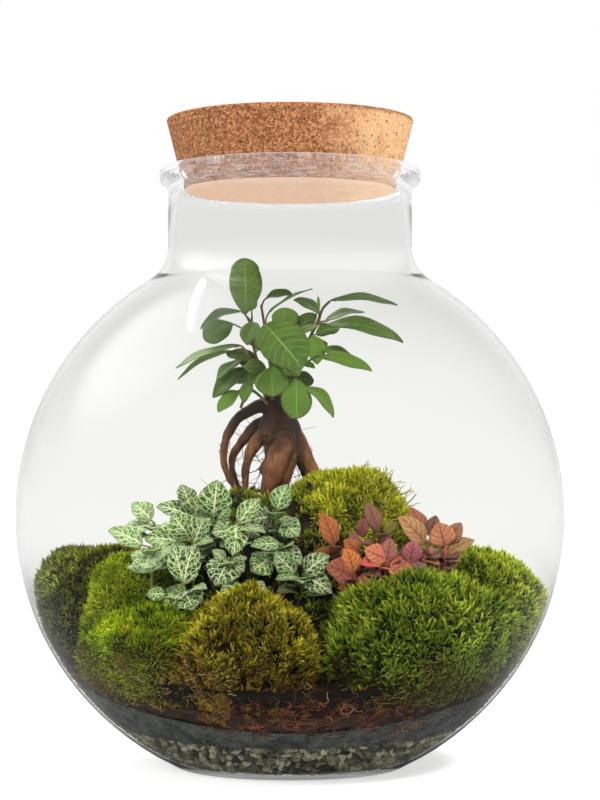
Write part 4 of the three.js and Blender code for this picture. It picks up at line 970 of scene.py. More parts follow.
def stone_shapes(seed, flat=0.75):
    """Broken stones of unit size: balls of 20 faces, stretched and knocked about."""
    draw = np.random.RandomState(seed)
    golden = (1 + 5**0.5) / 2
    corners = []
    for a in (-1, 1):
        for b in (-golden, golden):
            corners += [(0, a, b), (a, b, 0), (b, 0, a)]
    corners = np.array(corners) / math.hypot(1, golden)
    faces = []
    for i, j, k in itertools.combinations(range(12), 3):
        a, b, c = corners[[i, j, k]]
        if max(np.linalg.norm(v) for v in (b - a, c - b, a - c)) < 1.2:
            faces.append([i, j, k] if np.cross(b - a, c - a).dot(a + b + c) > 0 else [i, k, j])
    shapes = []
    for _ in range(SHAPES):
        stretch = np.array([draw.uniform(0.42, 0.56), draw.uniform(0.32, 0.5), draw.uniform(0.3, 0.5) * flat])
        shapes.append((corners * stretch * (1 + draw.uniform(-0.22, 0.22, (12, 1))), faces, None))
    return shapes


PLAIN_WHORLS = [(1, 0, 0.1, 1.0), (3, 0.2, 0.75, 0.8)]
STAR_WHORLS = [(1, 0.3, 0.15, 0.75), (4, 0.3, 0.7, 0.78), (3, 0.25, 1.15, 0.72)]
LONG_WHORLS = [(1, 0, 0.1, 1.0), (2, 0.3, 0.6, 0.5), (2, 0.55, 0.5, 0.45)]
SHOOTS = collection_of("moss_shoots", shoot_shapes(PLAIN_WHORLS, 0.12, 11))
STAR_SHOOTS = collection_of("star_moss_shoots", shoot_shapes(STAR_WHORLS, 0.085, 12))
LONG_SHOOTS = collection_of("long_moss_shoots", shoot_shapes(LONG_WHORLS, 0.085, 15))
STONES = collection_of("stones", stone_shapes(13))
CRUMBS = collection_of("crumbs", stone_shapes(14, 0.9))
OTHER_SHOOTS = {"moss_right_front": STAR_SHOOTS, "moss_centre_front": LONG_SHOOTS}


def finish_piece(obj, nodes):
    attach(obj, "root")
    if nodes:
        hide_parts(*nodes)


# Jar and cork


def arc(radius, z0, z1, spans):
    """Points of the bowl's profile between two heights: radius and height."""
    ends = [math.acos((BOWL_CENTRE_Z - z) / radius) for z in (z0, z1)]
    turns = np.linspace(*ends, spans + 1)
    return [(radius * math.sin(t), BOWL_CENTRE_Z - radius * math.cos(t)) for t in turns]


def bow(start, corner, end, spans=11):
    """A curve from start to end that leaves and arrives along the lines to the corner."""
    a, b, c = (np.array(point, float) for point in (start, corner, end))
    shares = np.linspace(0, 1, spans + 1)[1:]
    return [tuple(a * (1 - t) ** 2 + b * 2 * t * (1 - t) + c * t * t) for t in shares]


def glass_jar():
    """The blown jar: bowl, neck, a rim bead with fine ribs under it, and the thick flat base."""
    around, ribs, rib_height = 320, 80, 0.4
    neck_inner = NECK_RADIUS - GLASS_WALL
    outside = [(20, 0), (44, 0), (51.5, 0), (54.2, 0.25), (56.4, 1.1)] + arc(BOWL_RADIUS, 2.4, 238.6, 34)
    outside += bow((71.4, 238.6), (NECK_RADIUS, 245.5), (NECK_RADIUS, 257))
    outside += [(NECK_RADIUS, 266), (NECK_RADIUS, 276), (NECK_RADIUS, 283.6), (60.6, 284.8), (61.3, 285.9)]
    ribbed = [(62.2, 286.8), (63.1, 287.6), (63.9, 288.4), (64.3, 289.3)]
    rim = [(64.6, 290.2), (64.5, 291), (64.7, 291.8), (RIM_RADIUS, 292.8), (64.5, 294), (63.6, 295),
           (62.2, 295.7), (60.4, JAR_HEIGHT), (57.6, JAR_HEIGHT), (56.4, 295.8), (55.6, 295.2)]
    inside = [(55.35, 294), (55.35, 291), (55.5, 287), (55.9, 282), (56.5, 276), (57.1, 270)]
    inside.append((neck_inner, 263))
    inside += bow((neck_inner, 257), (neck_inner, 243.6), (67.2, 237.8))
    inner_radius = BOWL_RADIUS - GLASS_WALL
    for radius, z in arc(inner_radius, 3.2, 236.8, 34)[::-1]:
        wall = np.interp(z, [THIN_BELOW_Z, FULL_ABOVE_Z], [THIN_WALL, GLASS_WALL])
        share = (BOWL_RADIUS - wall) / inner_radius
        inside.append((radius * share, BOWL_CENTRE_Z + (z - BOWL_CENTRE_Z) * share))
    inside += [(53, THIN_FLOOR_Z + 0.2), (48, THIN_FLOOR_Z), (20, THIN_FLOOR_Z)]
    x, y = circle(around)
    wave = rib_height * np.cos(np.arange(around) / around * 2 * math.pi * ribs)
    rings = []
    for radius, z in outside + ribbed + rim + inside:
        reach = radius + (wave if (radius, z) in ribbed else 0)
        rings.append(ring(reach * x, reach * y, z))
    finish_piece(solid("glass_jar_blown", *skin(rings), clear_glass()), ["glass_jar"])


def cork_stopper():
    """The pressed cork, with soft edges and a slightly pitted side."""
    profile = [(18, CORK_BOTTOM_Z), (36, CORK_BOTTOM_Z), (51.4, CORK_BOTTOM_Z), (52.3, CORK_BOTTOM_Z + 0.4)]
    spans = 27
    for k in range(1, spans - 1):
        z = CORK_BOTTOM_Z + (CORK_TOP_Z - CORK_BOTTOM_Z) * k / spans
        profile.append((CORK_BOTTOM_RADIUS + (CORK_TOP_RADIUS - CORK_BOTTOM_RADIUS) * k / spans, z))
    profile += [(61.2, 318.9), (60.9, 319.6), (60.2, 319.9)]
    profile += [(radius, CORK_TOP_Z) for radius in (59.4, 40, 20)]
    x, y = circle(160)
    points, faces = skin([ring(radius * x, radius * y, z) for radius, z in profile])
    worn = (np.hypot(points[:, 0], points[:, 1]) > 50) & (points[:, 2] > CORK_BOTTOM_Z + 0.2)
    points[:, :2] *= np.where(worn, 1 - 0.0028 * np.maximum(rough(points, 2.2, 3), 0), 1)[:, None]
    finish_piece(solid("cork_stopper_pressed", points, faces, cork_finish()), ["cork_stopper"])


# Layers of gravel, soil and fibre


def bowl_edge(z):
    return np.sqrt(FILL_RADIUS**2 - (z - BOWL_CENTRE_Z) ** 2)


def gravel_top(x, y):
    return GRAVEL_TOP_Z + GRAVEL_SIDE_RISE * (x / GRAVEL_SIDE_REACH) ** 2


def soil_top(x, y):
    away = np.hypot(x, y)
    sideways = (x / np.maximum(away, 1e-6)) ** 2
    rise = SOIL_SIDE_RISE * sideways + SOIL_MIDDLE_RISE + SOIL_MIDDLE_RISE * y / np.maximum(away, 1e-6)
    return SOIL_FRONT_Z + away / SOIL_REACH * rise


def hill_top(x, y):
    wall = HILL_EDGE_Z + HILL_BACK_RISE * y / HILL_BACK_REACH + HILL_SIDE_RISE * (x / HILL_SIDE_REACH) ** 2
    stretch = np.where(x > HILL_X, HILL_RIGHT_STRETCH, 1)
    away = np.hypot((x - HILL_X) / stretch, y - HILL_Y)
    share = np.exp(-((np.maximum(0, away - HILL_FLAT_RADIUS) / HILL_SPREAD) ** 2))
    return wall + (HILL_TOP_Z - wall) * share + HILL_BUMP_HEIGHT * bumps(x, y, 0, HILL_BUMP_SIZE)


def hill_surface(x, y):
    return np.maximum(hill_top(x, y), soil_top(x, y) + 4.7)


def layer(bottom, top, top_rings, side_rings, around, relief, seed):
    """A layer that fills the bowl between two surfaces, with a rough side and top."""
    cx, cy = circle(around)

    def edge_reach(surface):
        reach = np.full(around, 80.0)
        for _ in range(9):
            reach = bowl_edge(surface(reach * cx, reach * cy))
        return reach

    def level(reach, surface):
        return ring(reach * cx, reach * cy, surface(reach * cx, reach * cy))

    low, high = edge_reach(bottom), edge_reach(top)
    rings = [level(low * share, bottom) for share in (0.3, 0.7, 1)]
    z_low, z_high = bottom(low * cx, low * cy), top(high * cx, high * cy)
    for k in range(1, side_rings):
        z = z_low + (z_high - z_low) * k / side_rings
        rings.append(ring(bowl_edge(z) * cx, bowl_edge(z) * cy, z))
    rings += [level(high * share, top) for share in np.linspace(1, 0.03, top_rings)]
    points, faces = skin(rings)
    amount = relief * (0.5 + 0.5 * rough(points, 4.5, seed)) + relief * 0.5 * rough(points, 1.8, seed + 1)
    outward = points - BOWL_CENTRE
    reach = np.linalg.norm(outward, axis=1)
    near_glass = np.clip((reach - (FILL_RADIUS - 3)) / 2.4, 0, 1) * (points[:, 2] > THIN_FLOOR_Z + 1)
    points = BOWL_CENTRE + outward * (1 - np.maximum(amount, 0) * near_glass / reach)[:, None]
    upper = np.arange(len(points)) > around * (2 + side_rings)
    points[:, 2] += (1 - near_glass) * upper * (amount - relief * 0.5)
    return points, faces


def grow(obj, shapes, count, sizes, lean, seed, finish, cover, upright=0.0):
    """Grows about count shapes on the covered part of the object, and holds them inside the glass."""
    mark(obj.data, "cover", cover)
    obj.data.calc_loop_triangles()
    corners = read(obj.data.loop_triangles, "vertices", np.int32)
    a, b, c = (coordinates(obj)[corners[:, k]] * MM for k in range(3))
    area = np.linalg.norm(np.cross(b - a, c - a), axis=1) / 2 * np.asarray(cover)[corners].mean(1)
    density = count / max(float(area.sum()), 1e-8)
    values = {"Shapes": shapes, "Density": density, "Least Size": sizes[0] * MM, "Most Size": sizes[1] * MM,
              "Lean": lean, "Upright": upright, "Seed": seed, "Finish": finish}
    made = made_by(obj, GROWTH, values, obj.name)
    points = pressed(coordinates(made))
    points[:, 2] = np.maximum(points[:, 2], THIN_FLOOR_Z + 0.15)
    set_coordinates(made, points)
    return made


def side_cover(points, low, high):
    """Covers what lies close to the glass between two heights."""
    reach = np.linalg.norm(points - BOWL_CENTRE, axis=1)
    return ((reach > FILL_RADIUS - 5) & (points[:, 2] > low) & (points[:, 2] < high)).astype(float)


def gravel_bed():
    def floor(x, y):
        return THIN_FLOOR_Z + 0.2 + 0 * x

    def top(x, y):
        return gravel_top(x, y) - 0.6 + 0.6 * bumps(x, y, 3, 13)

    points, faces = layer(floor, top, 8, 10, 180, 1.2, 21)
    cover = side_cover(points, 0, 30)
    points -= unit(points - BOWL_CENTRE) * (2 * cover)[:, None]
    # Partly painted shade: the nearly black bed seen between the stones stands in for the shade in the gaps,
    # besides fine grit
    dust_and_shade = earth_finish("gravel_dust", "#14140f", "#34342b", "#5a584a", 0.4)
    bed = solid("gravel_stones", points, faces, dust_and_shade)
    bed = grow(bed, STONES, 1800, (3.4, 7.2), ANY_WAY, 31, stone_finish(), cover)
    finish_piece(bed, ["gravel_bed"])


def dark_soil():
    points, faces = layer(lambda x, y: gravel_top(x, y) + 0.35, soil_top, 10, 14, 200, 1.3, 23)
    earth = earth_finish("dark_soil", "#1f2120", "#3f413e", "#5d5f56", 0.4)
    soil = solid("dark_soil_crumbly", points, faces, earth)
    soil = grow(soil, CRUMBS, 1250, (0.8, 2.7), ANY_WAY, 32, earth, side_cover(points, GRAVEL_TOP_Z, 60))
    finish_piece(soil, ["dark_soil_layer"])


def planted_hill():
    points, faces = layer(lambda x, y: soil_top(x, y) + 0.7, hill_surface, 56, 8, 160, 1.6, 25)
    earth = earth_finish("planting_soil", "#120d09", "#2b1f15", "#4a3826", 0.5)
    shown = ((points[:, 2] > 36) & (points[:, 1] < 25)).astype(float)
    hill = solid("soil_hill_crumbly", points, faces, earth)
    hill = grow(hill, CRUMBS, 650, (0.9, 3.0), ANY_WAY, 33, earth, shown)
    finish_piece(hill, ["soil_hill"])


def fibre_mat():
    (x0, y0, z0), (wide, deep, tall) = MAT_CENTRE, MAT_HALF_SIZE
    rings = []
    for a, b, c in ball(90, 30):
        swell = 1 + 0.09 * bumps(a * wide, b * deep, c * tall, 15)
        rings.append(ring(x0 + a * wide * swell, y0 + b * deep * swell, z0 + c * tall * swell))
    points, faces = skin(rings)
    points = pressed(points, FILL_RADIUS - 1.4, FILL_RADIUS - 4)
    points += 0.9 * rough(points, 2.5, 9)[:, None]
    points[:, 2] = np.maximum(points[:, 2], soil_top(points[:, 0], points[:, 1]) - 2)
    # Partly painted shade: the nearly black pad under the strands stands in for the shade among the fibres,
    # besides fine coir crumbs
    dust_and_shade = earth_finish("coconut_dust", "#0d0705", "#1c0f09", "#3c1c12", 0.5)
    finish_piece(solid("coconut_fibre_pad", points, faces, dust_and_shade), ["coconut_fibre_mat"])


def strand_object(name, lines, finish):
    """Three-sided strands, each of a list of points, its thickest radius and its thinnest, in millimetres."""
    curve = bpy.data.curves.new(name, "CURVE")
    curve.dimensions = "3D"
    for points, thick, thin in lines:
        spline = curve.splines.new("POLY")
        spline.points.add(len(points) - 1)
        for spot, point, radius in zip(spline.points, points, np.linspace(thick, thin, len(points))):
            spot.co = (*(point * MM), 1)
            spot.radius = radius * MM
    return made_by(linked(name + "_paths", curve), STRANDS, {"Sides": 3, "Finish": finish}, name)


def wander(draw, start, way, length, steps, curl):
    """A path that wanders from its start, in steps of equal length."""
    points, way = [np.array(start, float)], np.array(way, float)
    for _ in range(steps):
        way = unit(way + draw.normal(0, curl, 3))
        points.append(points[-1] + way * length / steps)
    return np.array(points)


def glass_strands(name, count, area, lengths, radii, drop, depth, finish, seed):
    """Strands that lie behind the glass: area is [least x, most x, least z, most z] on the front."""
    draw = np.random.RandomState(seed)
    lines = []
    for _ in range(count):
        x, z = draw.uniform(*area[:2]), draw.uniform(*area[2:])
        reach = FILL_RADIUS - draw.uniform(*depth)
        y = -math.sqrt(max(reach**2 - x**2 - (z - BOWL_CENTRE_Z) ** 2, 100))
        way = (draw.normal(0, 1), 0.2, draw.normal(drop, 0.5))
        line = wander(draw, (x, y, z), way, draw.uniform(*lengths), 8, 0.55)
        radius = draw.uniform(*radii)
        lines.append((BOWL_CENTRE + unit(line - BOWL_CENTRE) * reach, radius, radius * 0.4))
    finish_piece(strand_object(name, lines, finish), [])


def strands_behind_the_glass():
    coir = strand_finish("coconut_strands", "#24100a", "#8c4e34")
    glass_strands("coconut_fibre_strands", 620, (-38, 62, 27, 43), (5, 18), (0.1, 0.22), 0, (0.4, 2.4), coir,
                  41)
    dead = strand_finish("dead_moss_strands", "#34240f", "#8a6c3a")
    sides = {"left": (340, (-112, -28, 36, 56), 43), "right": (260, (58, 114, 40, 62), 44)}
    for side, (count, area, seed) in sides.items():
        glass_strands("dead_moss_" + side, count, area, (2.5, 7), (0.12, 0.3), 0.2, (0.2, 2.0), dead,
                      seed)
    pale = strand_finish("pale_rootlets", "#6a5038", "#b0946e")
    glass_strands("soil_rootlets", 44, (-90, 90, 20, 60), (6, 16), (0.07, 0.14), -0.4, (0.2, 0.8), pale,
                  42)


# Moss


def cushion_points(x0, y0, top, wide, deep, tall):
    rings = []
    for a, b, c in ball(72, 44):
        reach = sum(np.abs(v) ** CUSHION_SQUARENESS for v in (a, b, c))
        a, b, c = (v / reach ** (1 / CUSHION_SQUARENESS) for v in (a, b, c))
        swell = 1 + CUSHION_SWELL * bumps(a * wide + x0, b * deep + y0, c * tall, 34)
        rings.append(ring(x0 + a * wide * swell, y0 + b * deep * swell, top - tall + c * tall * swell))
    return skin(rings)


def depth_in(row, points):
    """Below 1 inside a cushion, 1 on its skin, above 1 outside."""
    x0, y0, top, *half = row[:6]
    share = np.abs((points - np.array([x0, y0, top - half[2]])) / np.array(half)) ** CUSHION_SQUARENESS
    return share.sum(1) ** (1 / CUSHION_SQUARENESS)


def sloped(points):
    """The rear hummock: a flat top, and a long slope on the left."""
    drop = np.clip((SLOPE_FROM_Z - points[:, 2]) / SLOPE_HEIGHT, 0, 1)
    points[:, 0] -= SLOPE_SHIFT * drop * np.clip((SLOPE_FROM_X - points[:, 0]) / SLOPE_WIDTH, 0, 1)
    points[:, 2] -= np.maximum(points[:, 2] - HUMMOCK_FLAT_Z, 0) * HUMMOCK_FLATNESS
    return points


def moss_cushion(name, row, index):
    count, least, most, dark, mid, bright, hem = row[6:]
    points, faces = cushion_points(*row[:6])
    lumps = sum(height * rough(points, size, index + seed) for height, size, seed in CUSHION_LUMPS)
    middle = np.array([row[0], row[1], row[2] - row[5]])
    points = points + unit(points - middle) * (lumps - 1.6)[:, None]
    if name == "moss_rear_hummock":
        points = sloped(points)
    points = pressed(points, FILL_RADIUS - 2.8, FILL_RADIUS - 7)
    ground = hill_surface(points[:, 0], points[:, 1])
    points[:, 2] = np.maximum(points[:, 2], ground - CUSHION_SINK)
    cover = (points[:, 2] > ground + 0.2).astype(float)
    for other, values in CUSHIONS.items():
        if other != name:
            cover *= depth_in(values, points) > 0.985
    shapes = OTHER_SHOOTS.get(name, SHOOTS)
    gaps = 0.95 if shapes is LONG_SHOOTS else 0.6
    cover *= 1 - gaps * np.clip(-5 * rough(points, 9, index + 80), 0, 1)
    obj = solid(name + "_tufts", points, faces, moss_ground_and_shade(name + "_ground", dark, mid))
    finish = moss_finish(name + "_shoots", dark, mid, bright, hem)
    count = count
    obj = grow(obj, shapes, count, (least, most), 0.55, 60 + index, finish, cover, 0.6)
    finish_piece(obj, [name])


def moss_carpet():
    """Moss that covers the hill between the cushions and round the plants."""
    x, y = circle(200)
    rings = []
    for share in np.linspace(0.02, 1.0, 48)[::-1]:
        across, deep = CARPET_RADIUS * share * x, CARPET_RADIUS * share * y
        rings.append(ring(across, deep, hill_surface(across, deep)))
    points, faces = skin(rings)
    points[:, 2] += 3.2 * rough(points, 13, 77) + 1.5 * rough(points, 5, 78) + 0.8
    points = pressed(points, FILL_RADIUS - 1.2, FILL_RADIUS - 3.5)
    x, y, z = points.T
    clear_x, clear_y, clear_radius = ROOT_CLEARING
    cover = 1.0 * ((z > CARPET_FOOT_Z) & (np.hypot(x - clear_x, y - clear_y) > clear_radius))
    for gap_x, gap_z, radius in CARPET_GAPS:
        cover *= (y >= 20) | (np.hypot(x - gap_x, z - gap_z) >= radius)
    for values in CUSHIONS.values():
        cover *= depth_in(values, points) > 0.93
    obj = solid("moss_carpet", points, faces, moss_ground_and_shade("moss_carpet_ground", "#150f08", "#2a2410"))
    finish = moss_finish("moss_carpet_shoots", "#262c04", "#68780e", "#b4bc30", 0.45)
    count = 2300
    finish_piece(grow(obj, SHOOTS, count, (3.0, 6.5), 0.6, 90, finish, cover, 0.5), [])


def loose_shoots():
    """Long loose shoots that stand out at the right of the rear hummock."""
    x0, y0, top, wide, deep, tall = CUSHIONS["moss_rear_hummock"][:6]
    draw = np.random.RandomState(61)
    lines = []
    for _ in range(LOOSE_SHOOTS):
        x, y = draw.uniform(*LOOSE_SHOOT_AREA[:2]), draw.uniform(*LOOSE_SHOOT_AREA[2:])
        share = abs((x - x0) / wide) ** CUSHION_SQUARENESS + abs((y - y0) / deep) ** CUSHION_SQUARENESS
        z = top - tall + tall * max(0.0, 1 - share) ** (1 / CUSHION_SQUARENESS)
        z -= HUMMOCK_FLATNESS * max(z - HUMMOCK_FLAT_Z, 0) + 2
        way = (draw.normal(0.5, 0.5), draw.normal(-0.2, 0.5), 0.9)
        line = wander(draw, (x, y, z), way, draw.uniform(5, 13), 9, 0.3)
        thick = draw.uniform(0.25, 0.45)
        lines.append((line, thick, thick * 0.5))
    finish = strand_finish("loose_moss_shoots", "#5e6a10", "#c0b84a")
    finish_piece(strand_object("loose_moss_shoots", lines, finish), [])


# Ficus


def root_path(root):
    """The points of a root, and the radius at each."""
    rows = np.array(root, float)
    return rows[:, :3], rows[:, 3]


def ficus_trunk():
    """The roots, fused into one skin, smoothed and ridged."""
    bark = bark_finish()
    build = Build()
    for spans, root in ROOTS:
        points, radii = root_path(root)
        build.add(*tube(points, radii, 16, spans))
    obj = build.object("ficus_trunk_raw", [bark])
    fused = obj.modifiers.new("fused", "REMESH")
    fused.mode, fused.voxel_size, fused.use_smooth_shade = "VOXEL", 0.65 * MM, True
    soft = obj.modifiers.new("soft", "SMOOTH")
    soft.factor, soft.iterations = 0.5, 3
    made = applied(obj, "ficus_trunk_bark")
    made.data.shade_smooth()
    points, normals = coordinates(made), read(made.data.vertices, "normal")
    ridges = 0.22 * rough(points * np.array([1, 1, 0.3]), 1.8, 5) + 0.5 * rough(points, 5, 6)
    set_coordinates(made, points + normals * (ridges + 0.25)[:, None])
    # Painted shade: a mask, 0 to 0.9, of where two roots come close, which darkens the bark there
    nearest, second = np.full((2, len(points)), 99.0)
    for _, root in ROOTS:
        places, radii = root_path(root)
        thick = between(radii, np.linspace(0, 1, 31))
        gap = (np.linalg.norm(points[:, None] - path(places, 30)[0][None], axis=2) - thick).min(1)
        second = np.minimum(second, np.maximum(gap, nearest))
        nearest = np.minimum(nearest, gap)
    mark(made.data, "hollow", np.clip(0.9 - (second - nearest) / 1.4, 0, 0.9))
    finish_piece(made, ["ficus_trunk"])


def rootlets():
    """Thin rootlets that hang from the roots."""
    draw = np.random.RandomState(51)
    lines = []
    for _, root in ROOTS:
        points, radii = root_path(root)
        places = path(points, ROOTLET_SPANS)[0]
        for _ in range(ROOTLETS):
            k = draw.randint(ROOTLETS_FROM, ROOTLET_SPANS - 1)
            off = draw.normal(0, 1, 3) * np.array([1, 1, 0.3])
            start = places[k] + unit(off) * between(radii, k / ROOTLET_SPANS) * 0.9
            line = wander(draw, start, off * 0.5 + np.array([0, 0, -0.8]), draw.uniform(5, 20), 12, 0.32)
            line[:, 2] = np.maximum(line[:, 2], hill_surface(line[:, 0], line[:, 1]) + 1)
            radius = draw.uniform(0.1, 0.3)
            lines.append((line, radius, radius * 0.35))
    finish = strand_finish("ficus_rootlets", "#24120a", "#5e3a24")
    finish_piece(strand_object("ficus_rootlets", lines, finish), [])


def breadth(u, rise, fall):
    """A leaf's breadth at a share of its length, 1 at its widest."""
    widest = rise / (rise + fall)
    return (u**rise * (1 - u) ** fall) / (widest**rise * (1 - widest) ** fall)


def blade(build, draw, joint, base, tip, width, face, arch, colour, outline=NERVE_OUTLINE, rows=14, columns=8,
          quilt=0.24, fold=0.2, pairs=6):
    """One leaf: a petiole and a thin folded blade, closed at its edges, added to the build."""
    joint, base, along, face = (np.array(v, float) for v in (joint, base, np.subtract(tip, base), face))
    length = np.linalg.norm(along)
    face = unit(face - along * face.dot(along) / length**2)
    side = unit(np.cross(along, face))
    rise = arch * length * 4
    bend, wave = draw.uniform(-0.03, 0.03) * width, draw.uniform(0, 6.28)
    across = np.linspace(-1, 1, columns + 1)
    top, low, uv = [], [], []
    for u in 0.5 - 0.5 * np.cos(np.linspace(0, math.pi, rows + 1)):
        centre = base + along * u + face * rise * u * (1 - u) + side * bend * math.sin(u * math.pi)
        up = unit(np.cross(side, along + face * rise * (1 - 2 * u)))
        least = 0.42 * (1 - u) ** 6 + 0.06
        half = max(width / 2 * breadth(min(max(u, 1e-6), 1 - 1e-6), *outline), least)
        thick = (0.3 if 0 < u < 1 else 0.12) * (1 - 0.6 * across**4)
        lift = half * math.sin(fold) * (np.sqrt(across**2 + 0.03) - 0.17)
        ripple = 0.035 * width * across**2 * math.sin(u * 11 + wave + 1.2)
        swell = quilt * np.abs(np.sin(math.pi * pairs * (u - 0.3 * np.abs(across) ** 1.3))) * (1 - across**2)
        height = lift + ripple + swell * min(1, 6 * u * (1 - u))
        line = centre + side * (across * half * math.cos(fold))[:, None]
        top.append(line + up * (height + thick)[:, None])
        low.append(line + up * (height - thick)[:, None])
        uv += [(u, 0.5 + s / 2) for s in across]
    wide = columns + 1
    count = (rows + 1) * wide
    faces = []
    for a in (i * wide + j for i in range(rows) for j in range(columns)):
        upper = [a, a + 1, a + wide + 1, a + wide]
        faces += [upper, [count + upper[k] for k in (0, 3, 2, 1)]]
    under = [0.0, 1.0] * (rows * columns)
    for a in range(0, rows * wide, wide):
        b = a + columns
        faces += [[a, a + wide, count + a + wide, count + a], [b, count + b, count + b + wide, b + wide]]
    for a in range(columns):
        b = rows * wide + a
        faces += [[a, count + a, count + a + 1, a + 1], [b, b + 1, count + b + 1, count + b]]
    under += [0.0] * (len(faces) - len(under))
    build.add(np.vstack(top + low), faces, 0, colour, under, uv + uv)
    reach = np.linalg.norm(base - joint)
    if reach > 0.3:
        stalk = [joint, joint * 0.5 + base * 0.5 + face * 0.15 * reach, base, base + along * 0.08]
        build.add(*tube(stalk, [0.5, 0.45, 0.42, 0.3], 5, 5), 1)


def ficus_shoots():
    twig = strand_finish("ficus_twig", "#463722", "#6e6040")
    veins = {"Pairs": 8.0, "Lean": 0.22, "Net Scale": 16.0, "Rib Width": 0.022, "Vein Width": 0.04,
             "Net Width": 0.08}
    leaf = leaf_finish("ficus_leaf", veins, "#8ea452", (0.55, 0.3, 0.06), "#56702e", 0.38, 0.25)
    for index, (name, (twigs, leaves)) in enumerate(FICUS_SHOOTS.items()):
        build, draw = Build(), np.random.RandomState(80 + index)
        for points in twigs:
            radii = [0.82 - 0.06 * k for k in range(len(points))]
            build.add(*tube(points, radii, 9, 5 * len(points)), 1)
        for joint, base, tip, width, face, arch, shape in leaves:
            green = mix_tones("#163006", "#52741e", draw.uniform(0, 1))
            blade(build, draw, joint, base, tip, width * 1.08, face, arch, green, FICUS_OUTLINES[shape],
                  rows=18, quilt=0.1, fold=0.22, pairs=8)
        finish_piece(build.object(name + "_leafy", [leaf, twig], marked=True), [name])


# Nerve plants


def nerve_stem(name, stem, tones, looks, index):
    """A nerve plant's stem with its leaves, each in its own tone, and smaller leaves lower down."""
    build, draw = Build(), np.random.RandomState(120 + index)
    (x, y), head, leaves = stem
    head = np.array(head, float)
    low = np.array([x, y, float(hill_top(x, y)) - STEM_DEPTH])
    bend = np.array([(2 * x + head[0]) / 3, (2 * y + head[1]) / 3, (low[2] + head[2]) / 2])
    build.add(*tube([low, bend, head], [STEM_RADIUS, STEM_RADIUS * 0.8], 8, 12), 1)
    down = unit(bend - head)

    def own_tone(k):
        choice = tones[k % len(tones)]
        return tone(choice) if isinstance(choice, str) else mix_tones(*choice, draw.uniform(0, 1))

    for k, (tip, width, face, start) in enumerate(leaves):
        joint = head + down * LEAF_STEP * (k + 0.4)
        base = joint * (1 - start) + np.array(tip, float) * start
        blade(build, draw, joint, base, tip, width * LEAF_SWELL, face, 0.08, own_tone(k))
    long = float(np.mean([np.linalg.norm(np.array(tip, float) - head) for tip, *_ in leaves]))
    wide = float(np.mean([width for _, width, *_ in leaves]))
    for k in range(LOWER_LEAVES):
        turn = (k + draw.uniform(0, 0.5)) * 2.4 + index
        joint = head + down * (LEAF_STEP * len(leaves) + 1.2 * k)
        way = np.array([math.cos(turn), math.sin(turn), draw.uniform(0.0, 0.5)])
        tip = joint + unit(way) * (long * draw.uniform(0.55, 0.9))
        base = joint * 0.8 + tip * 0.2
        face = (0.3 * way[0], 0.3 * way[1] - 0.45, 1.0)
        blade(build, draw, joint, base, tip, wide * LEAF_SWELL * 0.85, face, 0.12, own_tone(k + 1),
              rows=10, columns=6, quilt=0.2)
    finish_piece(build.object(name + "_leafy", looks, marked=True), [name])


def nerve_plants():
    veins = {"Pairs": 5.0, "Lean": 0.34, "Net Scale": 8.0}
    white_veins = {**veins, "Rib Width": 0.035, "Vein Width": 0.044, "Net Width": 0.034}
    white = leaf_finish("white_nerve_leaf", white_veins, "#d0d8a8", (0.95, 0.82, 0.7), "#4a7424", 0.5, 0.04)
    white_looks = [white, strand_finish("white_nerve_stalk", "#42561f", "#74843e")]
    for index, stem in enumerate(WHITE_STEMS):
        tones = PALE_GREENS if index in PALE_STEMS else GREENS
        nerve_stem("white_nerve_stem_%02d" % (index + 1), stem, tones, white_looks, index)
    red_veins = {**veins, "Rib Width": 0.05, "Vein Width": 0.07, "Net Width": 0.03}
    red = leaf_finish("red_nerve_leaf", red_veins, "#54121a", (0.85, 0.75, 0.5), "#8c6244", 0.5, 0.06, 0.15)
    red_looks = [red, strand_finish("red_nerve_stalk", "#7a3a34", "#a8584a")]
    for index, (stem, tones) in enumerate(zip(RED_STEMS, RED_TONES)):
        nerve_stem("red_nerve_stem_%02d" % (index + 1), stem, tones, red_looks, index + 20)


# Scene around the object


def mirrored_by_glass(tree):
    """1 for light that the glass has mirrored on its way."""
    return tree.maths("GREATER_THAN", tree.put("ShaderNodeLightPath").outputs["Glossy Depth"], 0.5)


def pale_floor():
    """A pale floor that runs out into white. The glass mirrors little of it."""
    mesh = bpy.data.meshes.new("floor")
    size = 4.0
    corners = [(x * size, y * size, 0) for x, y in ((-1, -1), (1, -1), (1, 1), (-1, 1))]
    mesh.from_pydata(corners, [], [[0, 1, 2, 3]])
    floor = linked("studio_floor", mesh)
    look = Look("pale_floor", 0.9)
    pale = {"Low": (0.8, 0.8, 0.8, 1), "High": (0.84, 0.84, 0.84, 1), "Speck": (0.82, 0.82, 0.82, 1)}
    mottle = look.use(MOTTLE, {"Vector": look.place, "Scale": 3.0, "Speck Share": 0.2, **pale})
    mirrored = mirrored_by_glass(look)
    away = look.vector("LENGTH", {0: look.place})["Value"]
    look.shade({"Base Color": look.mixed(mirrored, mottle["Color"], (0.1, 0.1, 0.1, 1)),
                "Emission Color": (1, 1, 1, 1),
                "Emission Strength": look.times(mirrored, look.ramp(away, 0.05, 0.06, -0.25, -0.55), 0.6)})
    strength = look.times(mirrored, -0.2, 1.2)
    glow = look.made("ShaderNodeEmission", {"Color": (1, 1, 1, 1), "Strength": strength})
    look.end_mix(look.ramp(away, 0.3, 1.3), look.shader.outputs[0], glow)
    mesh.materials.append(look.material)


